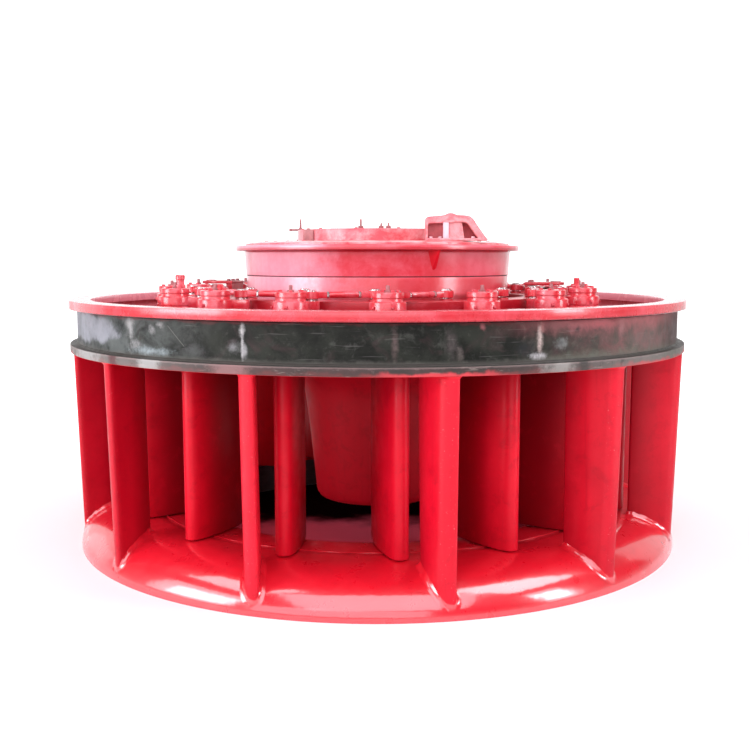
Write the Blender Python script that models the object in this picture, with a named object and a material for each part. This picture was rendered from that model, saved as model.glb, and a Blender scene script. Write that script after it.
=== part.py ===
"""Guide-vane assembly (distributor) of an axial-flow water turbine.

Stay ring with fixed stay vanes, sixteen turning guide vanes with their
stems, levers and links, the operating ring that turns them all, the head
cover with its drum, and the inner cone.  Metres, +Z up, origin on the
floor at the machine's axis.  Angles T run from -Y (the front) towards +X.
"""
import math

import bmesh
import bpy
from mathutils import Matrix, Vector

# ---------------------------------------------------------------- dimensions
SEG = 48                      # facets of the large rings (corners on the axes)
GAP = 0.0003                  # parting gap between bolted or seated pieces
RUN = 0.005                   # running clearance of moving pieces

R_FLANGE = 1.500              # upper stay ring: top flange, outer
R_FLANGE_IN = 1.400
Z_TOP = 1.170
Z_FLANGE = 1.130
R_BAND = 1.462                # upright band under the flange
R_BAND_IN = 1.432
Z_BAND = 0.968
R_LIP = 1.497                 # lip that carries the stay vanes
R_LIP_IN = 1.340
Z_LIP = 0.931                 # water passage roof

R_FOOT = 1.475                # lower stay ring
R_ROLL = 1.215                # start of the quarter-round
Z_FLAT = 0.165                # water passage floor
R_LOWER_IN = 1.110
R_THROAT = 0.950              # inner bore of the bottom ring

N_STAY = 12
T_STAY = 10.92                # first stay vane, degrees
R_STAY = 1.4364               # reference point of the vane's section at its foot
R_STAY_TOP = 1.4609           # and under the lip
STAY_LEAN = 25.3              # chord against the radius, degrees

N_GATE = 16
T_GATE = 2.35                 # first guide vane, degrees
R_GATE = 1.032                # stem circle
GATE_LEAN = 13.5              # chord against the radius at rest
R_STEM = 0.045
R_BORE = 0.048
R_SLEEVE = 0.085
Z_SLEEVE = 1.105
R_HUB = 0.076
Z_HUB0, Z_HUB1 = 1.112, 1.186
LEVER = 0.120                 # stem to lever pin
LEVER_TURN = 20.0             # lever against the inward radius at rest
R_PIN = 0.020
Z_LINK0, Z_LINK1 = 1.1915, 1.2215
Z_PIN = 1.2265

R_RING_PIN = 0.800            # link pins on the operating ring
RING_PIN_STEP = 19.5          # ring pin ahead of its stem, degrees
R_RING_IN, R_RING_OUT = 0.735, 0.862
Z_RING0, Z_RING1 = 1.130, 1.178

R_DRUM = 0.656
T_DRUM = 0.030
Z_COVER = 1.008               # top of the head cover plate
Z_SEAM = 1.279
Z_DRUM_FLANGE = 1.397
Z_DRUM_TOP = 1.422
Z_TOP_PLATE = 1.440             # top of the cover plate on the drum
R_DRUM_FLANGE = 0.706

# ---------------------------------------------------------------- materials


def paint(name, rgb, rough=0.35, metal=0.0):
    mat = bpy.data.materials.new(name)
    mat.use_nodes = True
    bsdf = mat.node_tree.nodes["Principled BSDF"]
    bsdf.inputs["Base Color"].default_value = (rgb[0], rgb[1], rgb[2], 1.0)
    bsdf.inputs["Roughness"].default_value = rough
    bsdf.inputs["Metallic"].default_value = metal
    mat.diffuse_color = (rgb[0], rgb[1], rgb[2], 1.0)
    return mat


# ---------------------------------------------------------------- helpers


def clear_scene():
    for obj in list(bpy.data.objects):
        bpy.data.objects.remove(obj, do_unlink=True)


def polar(r, t, z=0.0):
    """Point at radius r and angle t (degrees from -Y towards +X)."""
    a = math.radians(t)
    return Vector((r * math.sin(a), -r * math.cos(a), z))


def link_object(name, mesh, mat=None, smooth=True, angle=35.0):
    obj = bpy.data.objects.new(name, mesh)
    bpy.context.collection.objects.link(obj)
    if mat is not None and not mesh.materials:
        mesh.materials.append(mat)
    if smooth:
        mesh.shade_smooth()
        mesh.set_sharp_from_angle(angle=math.radians(angle))
    return obj


def finish(bm, name):
    bmesh.ops.recalc_face_normals(bm, faces=bm.faces)
    mesh = bpy.data.meshes.new(name)
    bm.to_mesh(mesh)
    bm.free()
    return mesh


def turned(name, profile, steps=SEG):
    """Ring turned from a closed (r, z) outline about the Z axis."""
    bm = bmesh.new()
    verts = [bm.verts.new((r, 0.0, z)) for r, z in profile]
    edges = [bm.edges.new((verts[i], verts[(i + 1) % len(verts)]))
             for i in range(len(verts))]
    bmesh.ops.spin(bm, geom=verts + edges, cent=(0, 0, 0), axis=(0, 0, 1),
                   angle=2 * math.pi, steps=steps, use_duplicate=False)
    bmesh.ops.remove_doubles(bm, verts=bm.verts, dist=0.00002)
    return finish(bm, name)


def plate(name, outline, z0, z1):
    """Straight extrusion of a closed (x, y) outline from z0 to z1."""
    bm = bmesh.new()
    face = bm.faces.new([bm.verts.new((x, y, z0)) for x, y in outline])
    out = bmesh.ops.extrude_face_region(bm, geom=[face])
    top = [g for g in out["geom"] if isinstance(g, bmesh.types.BMVert)]
    bmesh.ops.translate(bm, vec=(0, 0, z1 - z0), verts=top)
    return finish(bm, name)


def circle(r, n, cx=0.0, cy=0.0, turn=0.0):
    return [(cx + r * math.cos(turn + 2 * math.pi * i / n),
             cy + r * math.sin(turn + 2 * math.pi * i / n)) for i in range(n)]


def cutter(name, mesh):
    obj = bpy.data.objects.new(name, mesh)
    bpy.context.collection.objects.link(obj)
    obj.hide_render = True
    obj.display_type = 'WIRE'
    return obj


def baked(name, base, operands):
    """Mesh of base after a chain of EXACT booleans [(operation, mesh), ...]."""
    obj = bpy.data.objects.new(name + "_tmp", base)
    bpy.context.collection.objects.link(obj)
    tools = []
    for i, (operation, mesh) in enumerate(operands):
        tool = cutter("%s_tool%02d" % (name, i), mesh)
        tools.append(tool)
        mod = obj.modifiers.new("bool%02d" % i, 'BOOLEAN')
        mod.operation = operation
        mod.solver = 'EXACT'
        mod.object = tool
    graph = bpy.context.evaluated_depsgraph_get()
    graph.update()
    mesh = bpy.data.meshes.new_from_object(obj.evaluated_get(graph))
    mesh.name = name
    for each in [obj] + tools:
        bpy.data.objects.remove(each, do_unlink=True)
    return mesh


def merged(name, meshes):
    """Several loose bodies in one tool mesh."""
    bm = bmesh.new()
    for mesh in meshes:
        bm.from_mesh(mesh)
    return finish(bm, name)


# ---------------------------------------------------------------- pieces


def upper_stay_ring():
    """Top flange and the upright band under it."""
    z0 = Z_BAND + GAP
    return turned("upper_stay_ring", [
        (R_FLANGE, Z_TOP), (R_FLANGE, Z_FLANGE), (R_BAND, Z_FLANGE),
        (R_BAND, z0), (R_BAND_IN, z0),
        (R_BAND_IN, Z_FLANGE), (R_FLANGE_IN, Z_FLANGE), (R_FLANGE_IN, Z_TOP)])


def stay_ring_lip():
    """Flat ring under the band: it carries the fixed vanes and the cover."""
    return turned("stay_ring_lip", [
        (R_LIP, Z_BAND), (R_LIP, Z_LIP), (R_LIP_IN, Z_LIP), (R_LIP_IN, Z_BAND)])


def roll_point(a, inset=0.0):
    """Quarter ellipse from the flat (a=90) to the foot (a=0)."""
    rx = R_FOOT - R_ROLL - inset
    rz = Z_FLAT - inset
    return (R_ROLL + rx * math.cos(math.radians(a)),
            rz * math.sin(math.radians(a)))


ROLL_ANGLES = (0.0, 20.0, 40.0, 58.0, 74.0, 90.0)


def lower_stay_ring():
    return turned("lower_stay_ring",
                  [(R_LOWER_IN, Z_FLAT)] +
                  [roll_point(a) for a in reversed(ROLL_ANGLES)] +
                  [(R_LOWER_IN, 0.0)])


def bottom_ring():
    r1 = R_LOWER_IN - GAP * 4
    return turned("bottom_ring", [
        (r1, Z_FLAT), (r1, 0.0), (R_THROAT, 0.0), (R_THROAT, Z_FLAT)])


def head_cover():
    r_out = R_BAND_IN - 0.007
    r_step = R_LIP_IN - 0.0015
    z0 = Z_BAND + GAP
    plate_mesh = turned("cover_plate", [
        (r_out, Z_COVER), (r_out, z0), (r_step, z0), (r_step, Z_LIP),
        (R_CONE_TOP + 0.004, Z_LIP), (R_CONE_TOP + 0.004, Z_COVER)])
    sleeves, bores = [], []
    for k in range(N_GATE):
        c = polar(R_GATE, T_GATE + 360.0 / N_GATE * k)
        sleeves.append(plate("sleeve", circle(R_SLEEVE, 12, c.x, c.y),
                             Z_COVER - 0.010, Z_SLEEVE))
        bores.append(plate("bore", circle(R_BORE, 12, c.x, c.y),
                           Z_LIP - 0.020, Z_SLEEVE + 0.020))
    return baked("head_cover", plate_mesh,
                 [('UNION', merged("sleeves", sleeves)),
                  ('DIFFERENCE', merged("bores", bores))])


R_CONE_TOP = 0.640
CONE = ((0.6400, 0.9310), (0.5200, 0.8950), (0.4350, 0.8150), (0.3760, 0.7160),
        (0.3500, 0.5500), (0.3290, 0.3600), (0.3130, 0.2050), (0.2900, 0.1550))


def inner_cone():
    """Flared inner head cover: a shell, open for the shaft."""
    t = 0.028
    outer = [(R_CONE_TOP, Z_COVER)] + list(CONE)
    bore = 0.190
    inner = [(bore, CONE[-1][1]), (bore, CONE[-1][1] + t),
             (CONE[-2][0] - t, CONE[-1][1] + t),
             (CONE[5][0] - t, CONE[5][1]), (CONE[4][0] - t, CONE[4][1]),
             (CONE[3][0] - t, CONE[3][1] + 0.010),
             (CONE[2][0] - 0.018, CONE[2][1] + 0.024),
             (CONE[1][0] - 0.008, CONE[1][1] + 0.028),
             (R_CONE_TOP - t, CONE[0][1] + t), (R_CONE_TOP - t, Z_COVER)]
    return turned("inner_cone", outer + inner, 28)


def ring_guide():
    """Upright ring on the head cover that carries the operating ring."""
    return turned("ring_guide", [
        (0.800, Z_RING0 - RUN), (0.800, Z_RING0 - 0.030),
        (0.775, Z_RING0 - 0.030), (0.775, Z_COVER + GAP),
        (0.745, Z_COVER + GAP), (0.745, Z_RING0 - RUN)])


def drum_lower():
    return turned("drum_lower", [
        (R_DRUM - 0.001, Z_SEAM - 0.001), (R_DRUM - 0.008, Z_COVER + 0.035),
        (R_DRUM + 0.050, Z_COVER + 0.035), (R_DRUM + 0.050, Z_COVER + GAP),
        (R_DRUM - T_DRUM, Z_COVER + GAP), (R_DRUM - T_DRUM, Z_SEAM - 0.001)])


def drum_upper():
    return turned("drum_upper", [
        (R_DRUM_FLANGE, Z_DRUM_TOP), (R_DRUM_FLANGE, Z_DRUM_FLANGE),
        (R_DRUM + 0.008, Z_DRUM_FLANGE), (R_DRUM + 0.001, Z_SEAM),
        (R_DRUM - T_DRUM, Z_SEAM), (R_DRUM - T_DRUM, Z_DRUM_TOP)])


def bearing_cover():
    """Plate on the drum with the upright collar round the shaft opening."""
    z0 = Z_DRUM_TOP + GAP
    z1 = Z_TOP_PLATE
    return turned("bearing_cover", [
        (0.650, z1), (0.650, z0), (0.365, z0), (0.365, 1.500),
        (0.400, 1.500), (0.400, z1)], 32)


def operating_ring():
    base = turned("ring_base", [
        (R_RING_OUT, Z_RING1), (R_RING_OUT, Z_RING0),
        (R_RING_IN, Z_RING0), (R_RING_IN, Z_RING1)])
    lugs = []
    for k in range(N_GATE):
        c = polar(R_RING_PIN, T_GATE + RING_PIN_STEP + 360.0 / N_GATE * k)
        lugs.append(plate("lug", circle(0.032, 12, c.x, c.y),
                          Z_RING1 - 0.010, Z_LINK0 - RUN))
    ops = [('UNION', merged("lugs", lugs))]
    # ears for the two servomotor rods, carried over the links on a web
    for n, t in enumerate((78.1, 258.1)):
        turn = Matrix.Rotation(math.radians(t - 90.0), 4, 'Z')
        web = plate("web%d" % n, [(0.745, -0.085), (0.780, -0.085),
                                  (0.780, 0.085), (0.745, 0.085)],
                    Z_RING1 - 0.010, Z_EAR0 + 0.010)
        ear = plate("ear%d" % n, [(0.742, -0.090), (0.850, -0.090),
                                  (0.931, -0.045), (0.931, 0.045),
                                  (0.850, 0.090), (0.742, 0.090)],
                    Z_EAR0, Z_EAR0 + 0.014)
        web.transform(turn)
        ear.transform(turn)
        ops += [('UNION', web), ('UNION', ear)]
    return baked("operating_ring", base, ops)


Z_EAR0 = 1.232


def roll_tool():
    """The rolled ring, a parting gap larger, that trims the vanes' feet."""
    rim = [roll_point(a, -GAP * 1.5) for a in reversed(ROLL_ANGLES)]
    r_in = R_LOWER_IN - 0.150
    return turned("roll_tool", [(r_in, rim[0][1])] + rim +
                  [(rim[-1][0], -0.100), (r_in, -0.100)])


def stay_section(grow):
    """Section of a fixed vane in chord coordinates: an oblique nose face,
    a full side and a flatter side, and a thin tail."""
    return [(-0.0320, -0.0105), (-0.0335, -0.0030), (-0.0220, 0.0200),
            (-0.0060, 0.0400), (0.0040, 0.0445), (0.0200, 0.0440),
            (0.0700 + grow, 0.0370), (0.1250 + grow, 0.0210),
            (0.1780 + grow, -0.0015), (0.1815 + grow, -0.0075),
            (0.1780 + grow, -0.0150), (0.1000 + grow, -0.0235),
            (0.0300, -0.0205), (-0.0220, -0.0165)]


def stay_vanes():
    """Fixed vanes: the nose leans out to the lip's edge at the top, the
    thin tail stands upright and leans back against T."""
    trim = roll_tool()
    a = math.radians(STAY_LEAN)
    meshes = []
    for k in range(N_STAY):
        rings = []
        for r, z in ((R_STAY, 0.004), (R_STAY_TOP, Z_LIP - GAP)):
            grow = r - R_STAY
            foot = polar(R_STAY, T_STAY + 360.0 / N_STAY * k)
            inward = -foot.normalized()
            nose = foot - inward * grow
            side = Vector((0, 0, 1)).cross(inward)
            d = inward * math.cos(a) + side * math.sin(a)
            n = Vector((0, 0, 1)).cross(d)
            rings.append([nose + d * u + n * v + Vector((0, 0, z))
                          for u, v in stay_section(grow)])
        bm = bmesh.new()
        low = [bm.verts.new(q) for q in rings[0]]
        top = [bm.verts.new(q) for q in rings[1]]
        bm.faces.new(low)
        bm.faces.new(top)
        for i in range(len(low)):
            j = (i + 1) % len(low)
            bm.faces.new((low[i], low[j], top[j], top[i]))
        name = "stay_vane_%02d" % (k + 1)
        meshes.append(baked(name, finish(bm, name), [('DIFFERENCE', trim)]))
    return meshes


def guide_vane():
    """Guide vane with stem, lever hub, lever and pin; stem axis at the
    origin, nose towards +X, lever side along -X turned by the lean."""
    half = [(0.212, 0.0), (0.2095, 0.0130), (0.200, 0.0260), (0.183, 0.0350),
            (0.148, 0.0425), (0.090, 0.0475), (0.0, 0.0480), (-0.075, 0.0405),
            (-0.150, 0.0270), (-0.215, 0.0110), (-0.238, 0.0045)]
    outline = half + [(u, -v) for u, v in reversed(half[1:])]
    leaf = plate("leaf", outline, Z_FLAT + RUN, Z_LIP - RUN)
    stem = plate("stem", circle(R_STEM, 12), Z_LIP - 0.060, Z_HUB1 - 0.030)
    hub = plate("hub", circle(R_HUB, 16), Z_HUB0, Z_HUB1)
    # inward radius in this frame points to angle 180 - GATE_LEAN
    a = math.radians(180.0 - GATE_LEAN - LEVER_TURN)
    px, py = LEVER * math.cos(a), LEVER * math.sin(a)
    ux, uy = math.cos(a), math.sin(a)
    tip = [(LEVER + 0.036 * math.cos(b), 0.036 * math.sin(b)) for b in
           [math.radians(c) for c in (-75.0, -38.0, 0.0, 38.0, 75.0)]]
    web = [(0.030, -0.044)] + tip + [(0.030, 0.044)]
    arm = plate("arm", [(u * ux - v * uy, u * uy + v * ux) for u, v in web],
                Z_HUB0 + 0.022, Z_HUB1 - 0.004)
    pin = plate("pin", circle(R_PIN, 12, px, py), Z_HUB1 - 0.020, Z_PIN)
    cap = plate("cap", circle(0.066, 14), Z_HUB1 - 0.010, 1.224)
    return baked("guide_vane", leaf, [
        ('UNION', stem), ('UNION', hub), ('UNION', arm),
        ('UNION', pin), ('UNION', cap)])


def link_mesh(length):
    """Link from the lever pin (origin) to the ring pin along +X."""
    n = 7
    left = [(0.034 * math.cos(a), 0.034 * math.sin(a)) for a in
            [math.radians(50 + 260.0 * i / n) for i in range(n + 1)]]
    right = [(length + 0.032 * math.cos(a), 0.032 * math.sin(a)) for a in
             [math.radians(-130 + 260.0 * i / n) for i in range(n + 1)]]
    body = plate("bar", left + right, Z_LINK0, Z_LINK1)
    bore = plate("eye", circle(0.0222, 12), Z_LINK0 - 0.010, Z_LINK1 + 0.010)
    return baked("link", body, [('DIFFERENCE', bore)])


def box(x0, x1, y0, y1, z0, z1):
    return plate("box", [(x0, y0), (x1, y0), (x1, y1), (x0, y1)], z0, z1)


def upright(name, outline, y0, y1):
    """Upright plate with a closed (x, z) outline between two y."""
    mesh = plate(name, outline, -y1, -y0)
    mesh.transform(Matrix.Rotation(math.radians(90.0), 4, 'X'))
    return mesh


def service_bracket():
    """Arched open frame on the drum's cover plate, front right."""
    z0 = Z_TOP_PLATE + GAP
    y0, y1 = -0.475, -0.425
    base = upright("frame", [
        (0.218, z0), (0.218, 1.541), (0.230, 1.549), (0.296, 1.555),
        (0.322, 1.5655), (0.346, 1.566), (0.364, 1.557), (0.412, 1.554),
        (0.438, 1.540), (0.504, z0 + 0.006), (0.504, z0)], y0, y1)
    left = upright("left", [(0.2315, z0 + 0.012), (0.2315, 1.531),
                            (0.3006, 1.531), (0.3006, z0 + 0.012)],
                   y0 - 0.020, y1 - 0.012)
    right = upright("right", [(0.327, z0 + 0.012), (0.327, 1.533),
                              (0.410, 1.531), (0.424, 1.520), (0.467, z0 + 0.012)],
                    y0 - 0.020, y1 - 0.012)
    return baked("service_bracket", base,
                 [('DIFFERENCE', left), ('DIFFERENCE', right)])


def vent_post():
    """Thin post with a side arm at the left of the collar."""
    z0 = Z_TOP_PLATE + GAP
    x, y = -0.400, 0.180
    return baked("vent_post", plate("post", circle(0.009, 12, x, y),
                                    z0, 1.564), [
        ('UNION', plate("foot", circle(0.026, 12, x, y, 0.13),
                        z0, z0 + 0.026)),
        ('UNION', box(x - 0.060, x, y - 0.006, y + 0.006, 1.503, 1.513))])


# ---------------------------------------------------------------- assembly


def main():
    clear_scene()
    red = paint("red_gloss", (0.62, 0.018, 0.030), 0.22)
    red_vane = paint("red_vane", (0.56, 0.010, 0.022), 0.28)
    dark = paint("bare_steel", (0.050, 0.050, 0.052), 0.50, 0.4)

    def fixed(name, mesh, mat):
        return link_object(name, mesh, mat)

    fixed("upper_stay_ring", upper_stay_ring(), red)
    fixed("stay_ring_lip", stay_ring_lip(), red)
    fixed("lower_stay_ring", lower_stay_ring(), red)
    fixed("bottom_ring", bottom_ring(), red)
    fixed("head_cover", head_cover(), red)
    fixed("inner_cone", inner_cone(), red)
    fixed("ring_guide", ring_guide(), dark)
    fixed("drum_lower", drum_lower(), red)
    fixed("drum_upper", drum_upper(), red)
    fixed("bearing_cover", bearing_cover(), red)
    fixed("service_bracket", service_bracket(), red)
    fixed("vent_post", vent_post(), red)
    fixed("operating_ring", operating_ring(), red)

    for k, mesh in enumerate(stay_vanes()):
        fixed("stay_vane_%02d" % (k + 1), mesh, red_vane)

    vane = guide_vane()
    vane.materials.clear()
    length = (polar(R_RING_PIN, RING_PIN_STEP)
              - (polar(R_GATE, 0) + LEVER * lever_dir(0.0))).length
    bar = link_mesh(length)
    bar.materials.clear()
    for k in range(N_GATE):
        t = T_GATE + 360.0 / N_GATE * k
        stem = polar(R_GATE, t)
        gate = link_object("guide_vane_%02d" % (k + 1), vane, red_vane)
        gate.location = stem
        # outward radius at angle t is the direction (t - 90) from +X
        gate.rotation_euler = (0, 0, math.radians(t - 90.0 + GATE_LEAN))
        pin_at = stem + LEVER * lever_dir(t)
        ring_at = polar(R_RING_PIN, t + RING_PIN_STEP)
        rod = link_object("link_%02d" % (k + 1), bar, red)
        rod.location = pin_at
        d = ring_at - pin_at
        rod.rotation_euler = (0, 0, math.atan2(d.y, d.x))
    bpy.context.view_layer.update()


def lever_dir(t):
    """Unit vector of the lever at rest for the stem at angle t."""
    a = math.radians(t + 90.0 - LEVER_TURN)
    return Vector((math.cos(a), math.sin(a), 0.0))


main()
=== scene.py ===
"""Looks of the guide vane assembly: fine meshes, paint, welds and fasteners,
set around the fixed frame.  Metres, +Z up, the front looks along +Y."""

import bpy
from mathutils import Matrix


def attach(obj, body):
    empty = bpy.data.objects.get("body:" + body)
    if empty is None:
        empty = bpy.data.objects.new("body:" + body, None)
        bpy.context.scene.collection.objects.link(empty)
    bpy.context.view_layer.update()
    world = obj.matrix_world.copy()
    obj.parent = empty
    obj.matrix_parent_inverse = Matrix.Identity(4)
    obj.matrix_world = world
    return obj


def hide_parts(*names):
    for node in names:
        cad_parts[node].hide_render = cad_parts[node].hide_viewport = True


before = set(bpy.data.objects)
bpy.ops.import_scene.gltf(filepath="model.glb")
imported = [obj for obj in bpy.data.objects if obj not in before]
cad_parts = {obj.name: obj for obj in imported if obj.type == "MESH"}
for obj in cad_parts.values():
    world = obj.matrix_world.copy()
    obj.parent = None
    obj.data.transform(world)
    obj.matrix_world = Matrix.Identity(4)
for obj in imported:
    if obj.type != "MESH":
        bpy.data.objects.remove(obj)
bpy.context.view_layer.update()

import math
import random

import bmesh
import bpy
from mathutils import Matrix, Vector, noise

random.seed(11)
ROOT = "stay_ring"

# ------------------------------------------------------------------ sizes
Z_FLAT, Z_LIP, Z_BAND = 0.165, 0.931, 0.968
Z_FLANGE, Z_TOP = 1.130, 1.170
Z_COVER = 1.008
R_ROLL, R_FOOT, R_LOWER_IN, R_THROAT = 1.215, 1.475, 1.110, 0.950
N_STAY, T_STAY, R_STAY, R_STAY_TOP = 12, 10.92, 1.4364, 1.4609
STAY_LEAN = 25.3
N_GATE, T_GATE, R_GATE, GATE_LEAN = 16, 2.35, 1.032, 13.5
LEVER, LEVER_TURN = 0.120, 20.0
Z_HUB0, Z_HUB1 = 1.112, 1.186
Z_LINK0, Z_LINK1 = 1.1915, 1.2215
R_RING_PIN, RING_PIN_STEP = 0.800, 19.5
R_RING_IN, R_RING_OUT, Z_RING0, Z_RING1 = 0.735, 0.862, 1.130, 1.178
R_DRUM, Z_SEAM, Z_DRUM_FLANGE, Z_DRUM_TOP, R_DRUM_FLANGE = 0.656, 1.279, 1.397, 1.422, 0.706
FINE = 192


def polar(r, t, z=0.0):
    a = math.radians(t)
    return Vector((r * math.sin(a), -r * math.cos(a), z))


def lever_dir(t):
    a = math.radians(t + 90.0 - LEVER_TURN)
    return Vector((math.cos(a), math.sin(a), 0.0))


def roll_z(r):
    if r <= R_ROLL:
        return Z_FLAT
    c = min(1.0, (r - R_ROLL) / (R_FOOT - R_ROLL))
    return Z_FLAT * math.sqrt(max(0.0, 1.0 - c * c))


# ------------------------------------------------------------------ camera
cam_data = bpy.data.cameras.new("camera")
cam = bpy.data.objects.new("camera", cam_data)
bpy.context.collection.objects.link(cam)
cam_data.sensor_width = 36.0
cam_data.lens = 997.8 / 750.0 * 36.0
cam_data.shift_x = -0.0031
cam_data.clip_end = 200.0
cam.location = (0.0, -5.0745, 1.3548)
cam.rotation_euler = (math.radians(90.0 - 6.60), 0.0, 0.0)
bpy.context.scene.camera = cam


# ------------------------------------------------------------------ materials
class Graph:
    """Small helper that builds one node material."""

    def __init__(self, name):
        self.mat = bpy.data.materials.new(name)
        self.mat.use_nodes = True
        self.nt = self.mat.node_tree
        self.bsdf = self.nt.nodes["Principled BSDF"]
        self.coord = self.nt.nodes.new("ShaderNodeTexCoord")

    def node(self, kind, **values):
        n = self.nt.nodes.new(kind)
        for key, value in values.items():
            if key in n.inputs:
                n.inputs[key].default_value = value
            else:
                setattr(n, key, value)
        return n

    def link(self, a, b):
        self.nt.links.new(a, b)

    def mapped(self, scale, source="Object"):
        m = self.node("ShaderNodeMapping")
        m.inputs["Scale"].default_value = scale
        self.link(self.coord.outputs[source], m.inputs["Vector"])
        return m.outputs["Vector"]

    def noise(self, scale, detail=4.0, rough=0.55, vector=None, distort=0.0):
        n = self.node("ShaderNodeTexNoise")
        n.inputs["Scale"].default_value = scale
        n.inputs["Detail"].default_value = detail
        n.inputs["Roughness"].default_value = rough
        n.inputs["Distortion"].default_value = distort
        self.link(vector if vector is not None else self.coord.outputs["Object"],
                  n.inputs["Vector"])
        return n.outputs["Fac"]

    def ramp(self, fac, stops):
        r = self.node("ShaderNodeValToRGB")
        while len(r.color_ramp.elements) < len(stops):
            r.color_ramp.elements.new(0.5)
        for e, (pos, value) in zip(r.color_ramp.elements, stops):
            e.position = pos
            e.color = tuple(value) + (1.0,) if len(value) == 3 else value
        self.link(fac, r.inputs["Fac"])
        return r.outputs["Color"]

    def mix(self, fac, a, b, mode='MIX'):
        m = self.nt.nodes.new("ShaderNodeMix")
        m.data_type = 'RGBA'
        m.blend_type = mode
        for socket, value in ((m.inputs[0], fac), (m.inputs[6], a), (m.inputs[7], b)):
            if isinstance(value, (int, float)):
                socket.default_value = value
            elif isinstance(value, (tuple, list)):
                socket.default_value = tuple(value) + (1.0,)
            else:
                self.link(value, socket)
        return m.outputs[2]

    def math(self, op, a, b=0.0, clamp=False):
        m = self.node("ShaderNodeMath")
        m.operation = op
        m.use_clamp = clamp
        for socket, value in ((m.inputs[0], a), (m.inputs[1], b)):
            if isinstance(value, (int, float)):
                socket.default_value = value
            else:
                self.link(value, socket)
        return m.outputs[0]

    def span(self, value, lo, hi, a=0.0, b=1.0):
        m = self.node("ShaderNodeMapRange")
        m.interpolation_type = 'SMOOTHSTEP'
        m.inputs["From Min"].default_value = lo
        m.inputs["From Max"].default_value = hi
        m.inputs["To Min"].default_value = a
        m.inputs["To Max"].default_value = b
        self.link(value, m.inputs["Value"])
        return m.outputs["Result"]

    def bump(self, height, strength, distance, below=None):
        b = self.node("ShaderNodeBump")
        b.inputs["Strength"].default_value = strength
        b.inputs["Distance"].default_value = distance
        self.link(height, b.inputs["Height"])
        if below is not None:
            self.link(below, b.inputs["Normal"])
        return b.outputs["Normal"]

    def xyz(self):
        s = self.node("ShaderNodeSeparateXYZ")
        self.link(self.coord.outputs["Object"], s.inputs["Vector"])
        return s.outputs

    def done(self, color=None, rough=None, normal=None, metal=None):
        if color is not None:
            self.link(color, self.bsdf.inputs["Base Color"])
        if rough is not None:
            self.link(rough, self.bsdf.inputs["Roughness"])
        if metal is not None:
            self.link(metal, self.bsdf.inputs["Metallic"])
        if normal is not None:
            self.link(normal, self.bsdf.inputs["Normal"])
            self.link(normal, self.bsdf.inputs["Coat Normal"])
        return self.mat


def uneven_low(g):
    return g.noise(6.0, 5.0, 0.65)


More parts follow.
